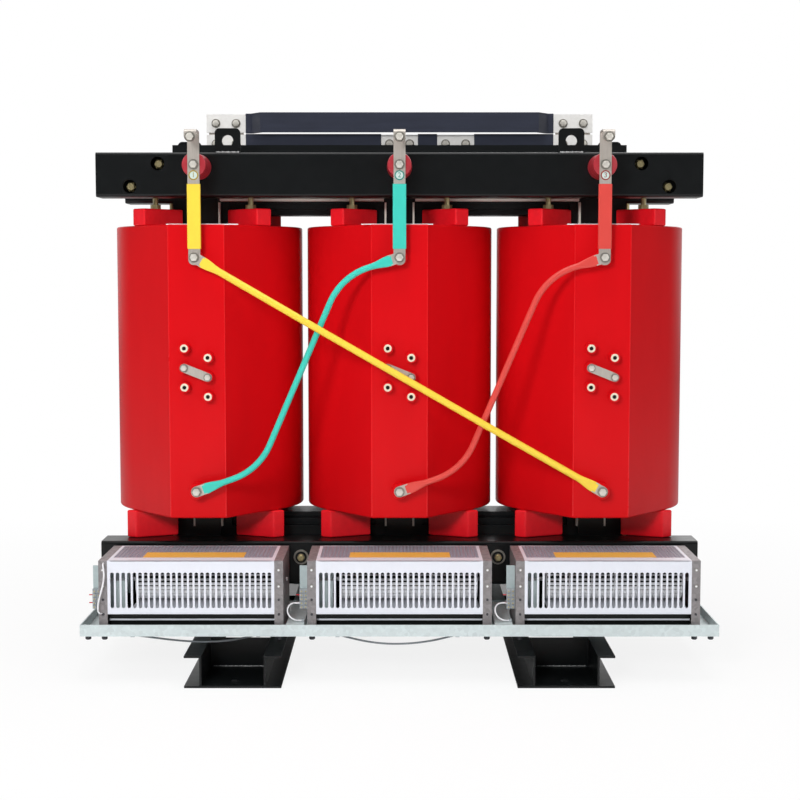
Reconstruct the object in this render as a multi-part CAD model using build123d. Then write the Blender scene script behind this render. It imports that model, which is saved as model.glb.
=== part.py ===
from build123d import *
from math import acos, atan2, cos, pi, radians, sin, tan
import os

# Three-phase dry-type transformer with cast-resin high-voltage coils.
# Millimetres. X runs along the three limbs, -Y is the high-voltage side, Z is up.
# The origin is on the floor under the middle of the unit.

# Phases, left to right, and the pitch of their limbs.
PHASE_PITCH = 520.0
PHASES = {"a": -PHASE_PITCH, "b": 0.0, "c": PHASE_PITCH}
FRONT, REAR = -1, 1
SIDES = (FRONT, REAR)

# Small clearances.
BORE_CLEARANCE = 0.3
BEARING_CLEARANCE = 0.05
END_GAP = 0.8

# Small round things that repeat are drawn with few sides.
SHANK_SIDES = 8
BOSS_SIDES = 12
ACCESS_SIDES = 16

# Feet: two channels each, backs together across a gap.
FOOT_GAUGE = 820.0
FOOT_LENGTH = 1090.0
CHANNEL_HEIGHT = 80.0
CHANNEL_FLANGE = 43.0
CHANNEL_WALL = 5.0
CHANNEL_GAP = 153.0
FOOT_PLATE = 6.0
FOOT_HOLE_R = 10.0
FOOT_HOLE_Y = 495.0
CROSS_PLATE_Y = 352.0

# Posts between the feet and the lower clamps.
POST_HEIGHT = 116.0
POST_PLATE = 10.0
POST_WIDTH = 120.0
POST_DEPTH = 80.0
POST_WALL = 6.0

# Clamps: rectangular hollow beams on both sides of the yokes.
CLAMP_HEIGHT = 115.0
CLAMP_DEPTH = 100.0
CLAMP_WALL = 6.0
CLAMP_CORNER = 8.0
CLAMP_FACE = 232.0
CLAMP_LENGTH = 1576.0
REAR_CLAMP_LENGTH = 1552.0
ACCESS_HOLE_R = 18.0
TIE_ROD_R = 8.0
TIE_ROD_PLACES = ((627.0, 86.0), (700.0, 27.0))
YOKE_BOLT_R = 8.0
YOKE_BOLT_X = 260.0
YOKE_BOLT_SLEEVE = 4.0
NUT_FLATS = 24.0
NUT_HEIGHT = 13.0
WASHER_R = 20.0
WASHER_THICK = 4.0

# Lifting lugs on the upper clamps.
LUG_X = {FRONT: 446.0, REAR: 600.0}
LUG_WIDTH = 66.0
LUG_HEIGHT = 62.0
LUG_THICK = 12.0
LUG_HOLE_R = 15.0
LUG_HOLE_RISE = 30.0
LUG_CORNER = 12.0
LUG_INSET = {FRONT: 6.0, REAR: 30.0}

# Coils and the blocks that carry them.
COIL_HEIGHT = 757.0
LOWER_BLOCK_HEIGHT = 73.0
UPPER_BLOCK_HEIGHT = 45.0
JACK_GAP = 28.0
LOWER_BLOCK_PLAN = ((77.0, 129.0), (184.0, 178.0), (212.0, 160.0), (106.0, 106.0))
UPPER_BLOCK_PLAN = ((59.0, 105.0), (147.0, 206.0), (183.0, 174.0), (95.0, 73.0))
BLOCK_CHAMFER = 3.0
JACK_X = 126.0
JACK_Y = 150.0
JACK_STUD_R = 7.0
JACK_NUT_HEIGHT = 11.0

HV_OUTER_R = 252.5
HV_INNER_R = 195.0
HV_PANEL_Y = 308.0
HV_PANEL_WIDTH = 143.0
HV_EDGE = 4.0
LV_OUTER_R = 170.0
LV_INNER_R = 122.0

# Stepped core: packet width, and how far that packet reaches from the middle of the stack.
CORE_STEPS = ((188.0, 53.0), (160.0, 74.0), (125.0, 89.0), (70.0, 103.0))
YOKE_BELOW_CLAMP_TOP = 42.0
YOKE_ABOVE_CLAMP_BOTTOM = 54.0
PULL_PLATE_THICK = 6.0
PULL_PLATE_SHORT = 15.0
STRIP_WIDTH = 5.0

# High-voltage terminals, taps and their hardware, all on the front panels.
TERMINAL_TOP_DROP = 85.0
TERMINAL_BOTTOM_RISE = 74.0
TERMINAL_BOSS_R = 20.0
TERMINAL_PROUD = 28.0
TERMINAL_HOLE_DEPTH = 32.0
TERMINAL_BOLT_R = 6.0
TERMINAL_BOLT_FLATS = 19.0
TERMINAL_BOLT_HEAD = 8.0
TERMINAL_BOLT_LENGTH = 30.0
TAP_COLUMN_X = 30.0
TAP_LEFT_RISE = 441.0
TAP_RIGHT_RISE = 417.0
TAP_PITCH = 50.0
TAP_BOSS_R = 14.5
TAP_PROUD = 23.0
INSERT_R = 10.5
INSERT_LENGTH = 20.0
TAP_LINK_THICK = 4.0
TAP_LINK_WIDTH = 22.0
TAP_BOLT_R = 4.8
TAP_BOLT_FLATS = 16.0
TAP_BOLT_HEAD = 6.5
TAP_BOLT_LENGTH = 18.0

BAR_WIDTH = 30.0
BAR_THICK = 5.0
BAR_BEND_R = 7.0
BAR_END_R = 14.0
BAR_FOOT = 19.0
BAR_TOP_Z_ABOVE_CLAMP = 44.0
HOOK_REACH = 62.0
HOOK_DROP = 31.0
HOOK_HOLE_RISE = 12.0
SLEEVE_WALL = 2.0
SLEEVE_START = 22.0
SLEEVE_LENGTH = 163.0
INSULATOR_RISE = 76.0
INSULATOR_BASE_R = 35.0
INSULATOR_NOSE_R = 31.0
INSULATOR_FOOT = 16.0
INSULATOR_EDGE = 4.0

# Delta links: sleeved round conductors with flattened, drilled ends.
LINK_R = {"a": 9.0, "b": 8.0, "c": 8.0}
LINK_PAD_WIDTH = 28.0
LINK_PAD_THICK = 5.0
LINK_PAD_LENGTH = 22.0
LINK_NECK_LENGTH = 26.0
LINK_BEND_R = 160.0
LINK_BOW = 19.0
LINK_BOW_X = 250.0
LINK_LEVEL_RUN = 45.0
LINK_TOP_CORNER = (-148.0, -48.0)
LINK_BOTTOM_CORNER = (161.0, 57.0)
LINK_ENDS = {"a": ("a", "c"), "b": ("b", "a"), "c": ("c", "b")}

# Low-voltage bars behind the rear upper clamp.
LV_LEAD_WIDTH = 100.0
LV_LEAD_THICK = 8.0
LV_LEAD_BEND_R = 12.0
LV_LEAD_SHIFT = 20.0
LV_REAR_GAP = 9.0
NEUTRAL_HEIGHT = 52.0
NEUTRAL_GAP = 6.0
NEUTRAL_THICK = 8.0
NEUTRAL_LENGTH = 1112.0
NEUTRAL_TOP_ABOVE_CLAMP = 144.0
NEUTRAL_JOGGLE = 38.0
NEUTRAL_JOGGLE_START = 395.0
NEUTRAL_JOGGLE_END = 425.0
NEUTRAL_OUTLET_X = (108.0, 215.0)
NEUTRAL_OUTLET_DROP = 60.0
NEUTRAL_BARE = 53.0
NEUTRAL_SLEEVE_END = 443.0
LV_SLEEVE_WALL = 2.0
LV_BOLT_R = 6.0
LV_BOLT_FLATS = 19.0
LV_BOLT_HEAD = 8.0
LV_BOLT_PITCH = 58.0
PHASE_LEAD_WIDTH = 80.0
PHASE_LEAD_RISE = 24.0
NEUTRAL_LEAD_RISE = 51.0
PHASE_FLAG_X = (110.0, 210.0)
PHASE_FLAG_HEIGHT = 70.0
PHASE_LEAD_GAP = 22.0
PHASE_TERMINAL_TOP_ABOVE_CLAMP = 26.0
PHASE_HOLE_R = 7.0
PHASE_HOLE_PITCH = 50.0
PHASE_HOLE_DOWN = 30.0

# Fan rails and arms, galvanised angle.
RAIL_LENGTH = 1590.0
RAIL_FACE = 490.0
RAIL_BOTTOM = 116.0
RAIL_HEIGHT = 29.0
RAIL_LEG = 50.0
RAIL_WALL = 3.0
INNER_RAIL_FACE = 250.0
INNER_RAIL_LEG = 40.0
INNER_RAIL_DROP = 26.0
SIDE_ARM_LEG = 30.0
INNER_ARM_WIDTH = 44.0
INNER_ARM_X = 260.0
HANGER_WALL = 4.0
SIDE_HANGER_FLANGE = 18.0
HANGER_DEPTH = 60.0

# Cross-flow fans, one in front of each coil.
FAN_WIDTH = 460.0
FAN_FLANGE = 22.0
FAN_WALL = 1.5
FAN_FRONT = 472.0
FAN_BACK = 253.0
FAN_TOP = 303.0
FAN_COVER_BOTTOM = 169.0
FAN_FLOOR_DROP = 22.0
FAN_FLOOR_SETBACK = 22.0
SLOT_COUNT = 29
SLOT_PITCH = 14.4
SLOT_WIDTH = 9.0
SLOT_HEIGHT = 91.0
SLOT_BOTTOM = 194.0
SLOT_CORNER = 2.6
OUTLET_SLOT_COUNT = 5
OUTLET_SLOT_LENGTH = 120.0
IMPELLER_R = 50.0
IMPELLER_BLADES = 18
BLADE_DEPTH = 12.0
BLADE_WALL = 1.2
BLADE_TILT = 35.0
DISC_WALL = 3.0
SHAFT_END_GAP = 1.0
BLADE_INSET = 1.0
IMPELLER_LEFT = -148.0
IMPELLER_RIGHT = 198.0
SHAFT_R = 5.0
FAN_AXIS_Y = 362.0
FAN_AXIS_Z = 236.0
MOTOR_R = 36.0
MOTOR_RIGHT = -166.0
MOTOR_BORE_DEPTH = 30.0
BRACKET_RIGHT = -168.0
BRACKET_Y = -432.0
BRACKET_TOP = 245.0
BRACKET_WALL = 2.0
TERMINAL_BLOCK = (21.0, 16.0, 50.0)
TERMINAL_BLOCK_Z = 176.0
TERMINAL_BLOCK_Y = -432.0
CARRIER_RISE = 58.0
RAIL_BOLT_R = 4.0
RAIL_BOLT_FLATS = 13.0
RAIL_BOLT_HEAD = 6.5
RAIL_BOLT_SETBACK = 32.0

# Fan cables that hang under the front rail.
CABLE_R = 2.5
CABLE_Y = -445.0
CLIP_LENGTH = 10.0
CLIP_BELOW_CABLE = 4.0
LEAD_CLIP_LENGTH = 6.0
LEAD_R = 2.0

# Levels and planes that follow from the sizes above.
LOWER_CLAMP_BOTTOM = CHANNEL_HEIGHT + POST_HEIGHT
LOWER_CLAMP_TOP = LOWER_CLAMP_BOTTOM + CLAMP_HEIGHT
COIL_BOTTOM = LOWER_CLAMP_TOP + LOWER_BLOCK_HEIGHT
COIL_TOP = COIL_BOTTOM + COIL_HEIGHT
UPPER_CLAMP_BOTTOM = COIL_TOP + UPPER_BLOCK_HEIGHT + JACK_GAP
UPPER_CLAMP_TOP = UPPER_CLAMP_BOTTOM + CLAMP_HEIGHT
LOWER_YOKE_Z = LOWER_CLAMP_TOP - YOKE_BELOW_CLAMP_TOP
UPPER_YOKE_Z = UPPER_CLAMP_BOTTOM + YOKE_ABOVE_CLAMP_BOTTOM
CLAMP_Y = CLAMP_FACE - CLAMP_DEPTH / 2
CLAMP_INNER = CLAMP_FACE - CLAMP_DEPTH
PACKET_WIDTH, PACKET_DEPTH = CORE_STEPS[-1]
PULL_PLATE_OUTER = PACKET_DEPTH + PULL_PLATE_THICK

TOP_TERMINAL_Z = COIL_TOP - TERMINAL_TOP_DROP
BOTTOM_TERMINAL_Z = COIL_BOTTOM + TERMINAL_BOTTOM_RISE
BAR_BACK = -(HV_PANEL_Y + TERMINAL_PROUD)
BAR_FRONT = BAR_BACK - BAR_THICK
LINK_FRONT = BAR_FRONT - LINK_PAD_THICK
LINK_Y = BAR_FRONT - LINK_PAD_THICK / 2
TAP_FACE = -(HV_PANEL_Y + TAP_PROUD)
INSULATOR_Z = UPPER_CLAMP_BOTTOM + INSULATOR_RISE
BAR_TOP_Z = UPPER_CLAMP_TOP + BAR_TOP_Z_ABOVE_CLAMP
HOOK_HOLE_Z = BAR_TOP_Z - HOOK_DROP + HOOK_HOLE_RISE

NEUTRAL_TOP_Z = UPPER_CLAMP_TOP + NEUTRAL_TOP_ABOVE_CLAMP
UPPER_NEUTRAL_Z = NEUTRAL_TOP_Z - NEUTRAL_HEIGHT / 2
LOWER_NEUTRAL_Z = UPPER_NEUTRAL_Z - NEUTRAL_HEIGHT - NEUTRAL_GAP
LV_LEAD_Y = CLAMP_FACE + LV_REAR_GAP
NEUTRAL_Y = LV_LEAD_Y - NEUTRAL_THICK
PHASE_LEAD_Y = LV_LEAD_Y + LV_LEAD_THICK + PHASE_LEAD_GAP

RAIL_TOP = RAIL_BOTTOM + RAIL_HEIGHT
FAN_FOOT_Z = RAIL_BOTTOM + RAIL_WALL
FAN_COVER_HALF = FAN_WIDTH / 2 - FAN_FLANGE
FAN_INSIDE_HALF = FAN_WIDTH / 2 - FAN_WALL
FAN_FLOOR_Z = FAN_COVER_BOTTOM - FAN_FLOOR_DROP


def block(x0, x1, y0, y1, z0, z1):
    """A plain block between two corners."""
    size = (abs(x1 - x0), abs(y1 - y0), abs(z1 - z0))
    return Pos((x0 + x1) / 2, (y0 + y1) / 2, (z0 + z1) / 2) * Box(*size)


def rod_x(x0, x1, y, z, radius):
    """A round bar along X."""
    return Pos((x0 + x1) / 2, y, z) * Rot(0, 90, 0) * Cylinder(radius, abs(x1 - x0))


def rod_y(x, y0, y1, z, radius):
    """A round bar along Y."""
    return Pos(x, (y0 + y1) / 2, z) * Rot(90, 0, 0) * Cylinder(radius, abs(y1 - y0))


def rod_z(x, y, z0, z1, radius):
    """A round bar along Z."""
    return Pos(x, y, (z0 + z1) / 2) * Cylinder(radius, abs(z1 - z0))


def prism_y(x, y0, y1, z, sides, radius):
    """A regular prism along Y."""
    face = Plane((x, min(y0, y1), z), x_dir=(1, 0, 0), z_dir=(0, 1, 0))
    return extrude(face * RegularPolygon(radius, sides), abs(y1 - y0))


def shank(x, y0, y1, z, radius):
    """A bolt's shank or rod along Y."""
    return prism_y(x, y0, y1, z, SHANK_SIDES, radius)


def shank_hole(x, y0, y1, z, radius):
    """The hole along Y for a shank of a given radius."""
    return shank(x, y0, y1, z, radius + BORE_CLEARANCE)


def hex_radius(flats):
    """The corner radius of a hexagon from its width across flats."""
    return flats / 2 / cos(pi / 6)


def hex_bolt(x, face_y, z, radius, flats, head, length):
    """A bolt whose head sits on the -Y side of a face, with its shank behind it."""
    cap = prism_y(x, face_y - head, face_y, z, 6, hex_radius(flats))
    return cap + shank(x, face_y, face_y + length, z, radius)


def yoke(z):
    """A stepped yoke of stacked packets, each as long as its own packet's limbs reach."""
    packets = [
        Pos(0, 0, z) * Box(2 * PHASE_PITCH + width, 2 * depth, width)
        for width, depth in CORE_STEPS
    ]
    return packets[0].fuse(*packets[1:])


def lower_yoke():
    """The lower yoke, drilled for its two clamping bolts."""
    body = yoke(LOWER_YOKE_Z)
    for x in (-YOKE_BOLT_X, YOKE_BOLT_X):
        body -= shank(x, -PACKET_DEPTH, PACKET_DEPTH, LOWER_YOKE_Z, YOKE_BOLT_R + YOKE_BOLT_SLEEVE)
    return body


def limb(x):
    """One limb, whose packets each run between the matching packets of the yokes."""
    packets = []
    inner = 0.0
    for width, depth in CORE_STEPS:
        z0 = LOWER_YOKE_Z + width / 2
        z1 = UPPER_YOKE_Z - width / 2
        for side in SIDES:
            packets.append(block(x - width / 2, x + width / 2, side * inner, side * depth, z0, z1))
        inner = depth
    return packets[0].fuse(*packets[1:])


def pull_plates():
    """Steel plates on the limbs' faces that tie the upper clamps to the lower ones."""
    z0 = LOWER_CLAMP_BOTTOM + PULL_PLATE_SHORT
    z1 = UPPER_CLAMP_TOP - PULL_PLATE_SHORT
    half = PACKET_WIDTH / 2
    return [
        block(x - half, x + half, side * PACKET_DEPTH, side * PULL_PLATE_OUTER, z0, z1)
        for x in PHASES.values()
        for side in SIDES
    ]


def limb_strips():
    """Pale insulating strips in the corners beside each pull plate."""
    step_width, step_depth = CORE_STEPS[-2]
    z0 = LOWER_YOKE_Z + step_width / 2
    z1 = UPPER_YOKE_Z - step_width / 2
    half = PACKET_WIDTH / 2
    return [
        block(x + edge * half, x + edge * (half + STRIP_WIDTH), side * step_depth,
              side * PULL_PLATE_OUTER, z0, z1)
        for x in PHASES.values()
        for side in SIDES
        for edge in (-1, 1)
    ]


def yoke_pads():
    """Insulating boards between the yokes and the clamps, notched over the pull plates."""
    half_length = PHASE_PITCH + CORE_STEPS[0][0] / 2
    pads = []
    for z in (LOWER_YOKE_Z, UPPER_YOKE_Z):
        z0, z1 = z - PACKET_WIDTH / 2, z + PACKET_WIDTH / 2
        for side in SIDES:
            pad = block(-half_length, half_length, side * PACKET_DEPTH, side * CLAMP_INNER, z0, z1)
            for x in PHASES.values():
                half = PACKET_WIDTH / 2
                pad -= block(x - half, x + half, side * PACKET_DEPTH, side * PULL_PLATE_OUTER, z0, z1)
            if z == LOWER_YOKE_Z:
                for x in (-YOKE_BOLT_X, YOKE_BOLT_X):
                    pad -= shank_hole(x, side * PACKET_DEPTH, side * CLAMP_INNER, z, YOKE_BOLT_R)
            pads.append(pad)
    return pads


def clamp_beam(side, bottom, length):
    """A hollow clamp beam with access holes in its outer wall over the tie rods."""
    centre = (0, side * CLAMP_Y, bottom + CLAMP_HEIGHT / 2)
    section = Plane(centre, x_dir=(0, 1, 0), z_dir=(1, 0, 0))
    outer = RectangleRounded(CLAMP_DEPTH, CLAMP_HEIGHT, CLAMP_CORNER)
    inner = Rectangle(CLAMP_DEPTH - 2 * CLAMP_WALL, CLAMP_HEIGHT - 2 * CLAMP_WALL)
    beam = extrude(section * (outer - inner), length / 2, both=True)
    for x, rise in TIE_ROD_PLACES:
        for way in (-1, 1):
            beam -= prism_y(way * x, side * (CLAMP_FACE - CLAMP_WALL), side * CLAMP_FACE,
                            bottom + rise, ACCESS_SIDES, ACCESS_HOLE_R)
            beam -= shank_hole(way * x, side * CLAMP_INNER, side * (CLAMP_INNER + CLAMP_WALL),
                               bottom + rise, TIE_ROD_R)
    return beam


def upper_clamp(side):
    """An upper clamp beam; the front one carries the insulators on its face."""
    length = CLAMP_LENGTH if side == FRONT else REAR_CLAMP_LENGTH
    return clamp_beam(side, UPPER_CLAMP_BOTTOM, length)


def lower_clamp(side):
    """A lower clamp beam, drilled through for the yoke bolts."""
    length = CLAMP_LENGTH if side == FRONT else REAR_CLAMP_LENGTH
    beam = clamp_beam(side, LOWER_CLAMP_BOTTOM, length)
    for x in (-YOKE_BOLT_X, YOKE_BOLT_X):
        beam -= shank_hole(x, side * CLAMP_INNER, side * CLAMP_FACE, LOWER_YOKE_Z, YOKE_BOLT_R)
    return beam


def lifting_lugs():
    """Four rounded lugs with eyes, welded on the upper clamps."""
    lugs = []
    for side in SIDES:
        face = side * (CLAMP_FACE - LUG_INSET[side])
        for x in (-LUG_X[side], LUG_X[side]):
            lug = block(x - LUG_WIDTH / 2, x + LUG_WIDTH / 2, face, face - side * LUG_THICK,
                        UPPER_CLAMP_TOP, UPPER_CLAMP_TOP + LUG_HEIGHT)
            top_edges = lug.edges().filter_by(Axis.Y).group_by(Axis.Z)[-1]
            lug = fillet(top_edges, LUG_CORNER)
            lug -= rod_y(x, face, face - side * LUG_THICK, UPPER_CLAMP_TOP + LUG_HOLE_RISE,
                         LUG_HOLE_R)
            lugs.append(lug)
    return lugs


def tie_rods():
    """Rods through the inner walls of each pair of clamps, outside the core, with a nut each end."""
    reach = CLAMP_INNER + CLAMP_WALL + NUT_HEIGHT
    rods = []
    for bottom in (LOWER_CLAMP_BOTTOM, UPPER_CLAMP_BOTTOM):
        for x, rise in TIE_ROD_PLACES:
            for way in (-1, 1):
                z = bottom + rise
                rod = shank(way * x, -reach, reach, z, TIE_ROD_R)
                for side in SIDES:
                    rod += prism_y(way * x, side * (reach - NUT_HEIGHT), side * reach, z, 6,
                                   hex_radius(NUT_FLATS))
                rods.append(rod)
    return rods


def yoke_bolts():
    """Two long bolts through the lower clamps and yoke, with broad washers on the clamps' faces."""
    bolts = []
    for x in (-YOKE_BOLT_X, YOKE_BOLT_X):
        reach = CLAMP_FACE + WASHER_THICK + NUT_HEIGHT
        bolt = shank(x, -reach, reach, LOWER_YOKE_Z, YOKE_BOLT_R)
        for side in SIDES:
            washer_face = side * (CLAMP_FACE + WASHER_THICK)
            bolt += prism_y(x, side * CLAMP_FACE, washer_face, LOWER_YOKE_Z, ACCESS_SIDES, WASHER_R)
            bolt += prism_y(x, washer_face, washer_face + side * NUT_HEIGHT, LOWER_YOKE_Z, 6,
                            hex_radius(NUT_FLATS))
        bolts.append(bolt)
    return bolts


def foot(x):
    """A foot: two outward-facing channels welded to end plates and upright cross plates."""
    half = FOOT_LENGTH / 2
    web = CHANNEL_GAP / 2
    pieces = []
    for way in (-1, 1):
        inner = x + way * web
        outer = inner + way * CHANNEL_FLANGE
        pieces.append(block(inner, inner + way * CHANNEL_WALL, -half, half, 0, CHANNEL_HEIGHT))
        pieces.append(block(inner, outer, -half, half, 0, CHANNEL_WALL))
        pieces.append(block(inner, outer, -half, half, CHANNEL_HEIGHT - CHANNEL_WALL,
                            CHANNEL_HEIGHT))
    for side in SIDES:
        pieces.append(block(x - web, x + web, side * CROSS_PLATE_Y, side * half, 0, FOOT_PLATE))
        pieces.append(block(x - web, x + web, side * CROSS_PLATE_Y,
                            side * (CROSS_PLATE_Y - FOOT_PLATE), 0, CHANNEL_HEIGHT))
    body = pieces[0].fuse(*pieces[1:])
    for side in SIDES:
        body -= rod_z(x, side * FOOT_HOLE_Y, 0, FOOT_PLATE, FOOT_HOLE_R)
    return body


def clamp_posts():
    """Four welded posts that stand on the feet and carry the lower clamps."""
    z0 = CHANNEL_HEIGHT
    z1 = LOWER_CLAMP_BOTTOM
    plate_half = CHANNEL_GAP / 2 + CHANNEL_FLANGE
    posts = []
    for x in (-FOOT_GAUGE / 2, FOOT_GAUGE / 2):
        for side in SIDES:
            y = side * CLAMP_Y
            base = block(x - plate_half, x + plate_half, y - CLAMP_DEPTH / 2, y + CLAMP_DEPTH / 2,
                         z0, z0 + POST_PLATE)
            cap = block(x - POST_WIDTH / 2 - POST_PLATE, x + POST_WIDTH / 2 + POST_PLATE,
                        y - CLAMP_DEPTH / 2, y + CLAMP_DEPTH / 2, z1 - POST_PLATE, z1)
            tube = Plane((x, y, z0 + POST_PLATE)) * (
                Rectangle(POST_WIDTH, POST_DEPTH)
                - Rectangle(POST_WIDTH - 2 * POST_WALL, POST_DEPTH - 2 * POST_WALL)
            )
            posts.append(base + extrude(tube, POST_HEIGHT - 2 * POST_PLATE) + cap)
    return posts


def support_blocks(plan, z0, z1):
    """Four blocks for each coil, from the plan of the one in front on the right."""
    blocks = []
    for x in PHASES.values():
        for side in SIDES:
            for way in (-1, 1):
                corners = [(x + way * px, side * py) for px, py in plan]
                body = extrude(Pos(0, 0, z0) * Polygon(*corners, align=None), z1 - z0,
                               dir=(0, 0, 1))
                blocks.append(chamfer(body.edges().filter_by(Axis.Z), BLOCK_CHAMFER))
    return blocks


def jack_bolts():
    """Studs with nuts that press each upper block down from the clamp above it."""
    bolts = []
    z0 = COIL_TOP + UPPER_BLOCK_HEIGHT
    for x in PHASES.values():
        for side in SIDES:
            for way in (-1, 1):
                nut = extrude(RegularPolygon(hex_radius(NUT_FLATS), 6), JACK_NUT_HEIGHT)
                stud = extrude(RegularPolygon(JACK_STUD_R, SHANK_SIDES),
                               UPPER_CLAMP_BOTTOM - z0)
                bolts.append(Pos(x + way * JACK_X, side * JACK_Y, z0) * (nut + stud))
    return bolts


def hv_outline():
    """The coil's plan: a circle joined by straight tangents to a flat front panel."""
    half = HV_PANEL_WIDTH / 2
    corner_distance = (half**2 + HV_PANEL_Y**2) ** 0.5
    reach = atan2(half, HV_PANEL_Y) + acos(HV_OUTER_R / corner_distance)
    tangent_x = HV_OUTER_R * sin(reach)
    tangent_y = -HV_OUTER_R * cos(reach)
    with BuildSketch() as sketch:
        with BuildLine():
            Line((-half, -HV_PANEL_Y), (half, -HV_PANEL_Y))
            Line((half, -HV_PANEL_Y), (tangent_x, tangent_y))
            ThreePointArc((tangent_x, tangent_y), (0, HV_OUTER_R), (-tangent_x, tangent_y))
            Line((-tangent_x, tangent_y), (-half, -HV_PANEL_Y))
        make_face()
    return sketch.sketch


def tap_places():
    """The six tap terminals: two columns, the right one half a step lower."""
    columns = ((-TAP_COLUMN_X, TAP_LEFT_RISE), (TAP_COLUMN_X, TAP_RIGHT_RISE))
    return [
        (x, COIL_BOTTOM + rise - row * TAP_PITCH)
        for x, rise in columns
        for row in range(3)
    ]


def hv_coil(x):
    """A cast-resin high-voltage coil with its terminal and tap bosses."""
    body = extrude(hv_outline(), COIL_HEIGHT)
    body = chamfer(body.faces().sort_by(Axis.Z)[-1].edges(), HV_EDGE)
    body = chamfer(body.faces().sort_by(Axis.Z)[0].edges(), HV_EDGE)
    body -= rod_z(0, 0, 0, COIL_HEIGHT, HV_INNER_R)
    body = Pos(0, 0, COIL_BOTTOM) * body
    inside = -HV_PANEL_Y + HV_EDGE
    terminals = ((BAR_BACK, TOP_TERMINAL_Z), (BAR_FRONT, BOTTOM_TERMINAL_Z))
    bosses = [prism_y(0, inside, face, z, BOSS_SIDES, TERMINAL_BOSS_R) for face, z in terminals]
    bosses += [prism_y(px, inside, TAP_FACE, pz, BOSS_SIDES, TAP_BOSS_R) for px, pz in tap_places()]
    body = body.fuse(*bosses)
    holes = [
        shank_hole(0, face, face + TERMINAL_HOLE_DEPTH, z, TERMINAL_BOLT_R) for face, z in terminals
    ]
    holes += [
        prism_y(px, TAP_FACE, TAP_FACE + INSERT_LENGTH, pz, BOSS_SIDES, INSERT_R)
        for px, pz in tap_places()
    ]
    return Pos(x, 0, 0) * body.cut(*holes)


def tap_inserts():
    """Threaded brass inserts cast into the tap bosses."""
    inserts = []
    for x in PHASES.values():
        for px, pz in tap_places():
            insert = prism_y(x + px, TAP_FACE, TAP_FACE + INSERT_LENGTH, pz, BOSS_SIDES, INSERT_R)
            insert -= shank_hole(x + px, TAP_FACE, TAP_FACE + INSERT_LENGTH, pz, TAP_BOLT_R)
            inserts.append(insert)
    return inserts


def linked_taps():
    """The two tap terminals that the tap link joins."""
    places = tap_places()
    return places[1], places[4]


def tap_links():
    """A flat rounded link across the middle taps of each coil."""
    (x0, z0), (x1, z1) = linked_taps()
    links = []
    for x in PHASES.values():
        middle = (x + (x0 + x1) / 2, TAP_FACE, (z0 + z1) / 2)
        plane = Plane(middle, x_dir=(x1 - x0, 0, z1 - z0), z_dir=(0, -1, 0))
        span = ((x1 - x0) ** 2 + (z1 - z0) ** 2) ** 0.5
        link = extrude(plane * SlotCenterToCenter(span, TAP_LINK_WIDTH), TAP_LINK_THICK)
        for px, pz in linked_taps():
            link -= shank_hole(x + px, TAP_FACE - TAP_LINK_THICK, TAP_FACE, pz, TAP_BOLT_R)
        links.append(link)
    return links


def lv_coil(x):
    """A low-voltage foil coil, a plain resin-sealed cylinder."""
    ring = Circle(LV_OUTER_R) - Circle(LV_INNER_R)
    return Pos(x, 0, COIL_BOTTOM) * extrude(ring, COIL_HEIGHT)


def hv_insulators():
    """Red post insulators that hold the terminal bars off the front upper clamp."""
    length = -BAR_BACK - CLAMP_FACE
    posts = []
    for x in PHASES.values():
        with BuildSketch(Plane.XY) as profile:
            Polygon(
                (0, 0), (INSULATOR_BASE_R, 0), (INSULATOR_BASE_R, INSULATOR_FOOT),
                (INSULATOR_NOSE_R, length - INSULATOR_EDGE),
                (INSULATOR_NOSE_R - INSULATOR_EDGE, length), (0, length),
                align=None,
            )
        post = Rot(180, 0, 0) * revolve(profile.sketch, Axis.Y)
        post = Pos(x, -CLAMP_FACE, INSULATOR_Z) * post
        post -= shank_hole(x, BAR_BACK, BAR_BACK + TERMINAL_HOLE_DEPTH, INSULATOR_Z, TERMINAL_BOLT_R)
        posts.append(post)
    return posts


def terminal_bar(x):
    """A flat copper bar that rises from the coil terminal and hooks forward at its top."""
    middle_y = BAR_BACK - BAR_THICK / 2
    top_z = BAR_TOP_Z - BAR_THICK / 2
    points = [
        (middle_y, TOP_TERMINAL_Z - BAR_FOOT), (middle_y, top_z),
        (middle_y - HOOK_REACH, top_z), (middle_y - HOOK_REACH, BAR_TOP_Z - HOOK_DROP),
    ]
    centre_line = FilletPolyline(*points, radius=BAR_BEND_R)
    section = Plane((x, 0, 0), x_dir=(0, 1, 0), z_dir=(1, 0, 0)) * trace(centre_line, BAR_THICK)
    bar = extrude(section, BAR_WIDTH / 2, both=True)
    for level in (TOP_TERMINAL_Z - BAR_FOOT, BAR_TOP_Z - HOOK_DROP):
        ends = bar.edges().filter_by(Axis.Y).filter_by_position(Axis.Z, level - 1, level + 1)
        bar = fillet(ends, BAR_END_R)
    for z in (TOP_TERMINAL_Z, INSULATOR_Z):
        bar -= shank_hole(x, BAR_FRONT, BAR_BACK, z, TERMINAL_BOLT_R)
    hook_y = middle_y - HOOK_REACH
    bar -= shank_hole(x, hook_y - BAR_THICK / 2, hook_y + BAR_THICK / 2, HOOK_HOLE_Z,
                      TERMINAL_BOLT_R)
    return bar


def bar_sleeve(x):
    """A coloured sleeve shrunk over a terminal bar."""
    z0 = TOP_TERMINAL_Z + SLEEVE_START
    outer = Plane((x, (BAR_BACK + BAR_FRONT) / 2, z0)) * RectangleRounded(
        BAR_WIDTH + 2 * SLEEVE_WALL, BAR_THICK + 2 * SLEEVE_WALL, SLEEVE_WALL)
    sleeve = extrude(outer, SLEEVE_LENGTH)
    return sleeve - block(x - BAR_WIDTH / 2, x + BAR_WIDTH / 2, BAR_FRONT, BAR_BACK, z0,
                          z0 + SLEEVE_LENGTH)


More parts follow.
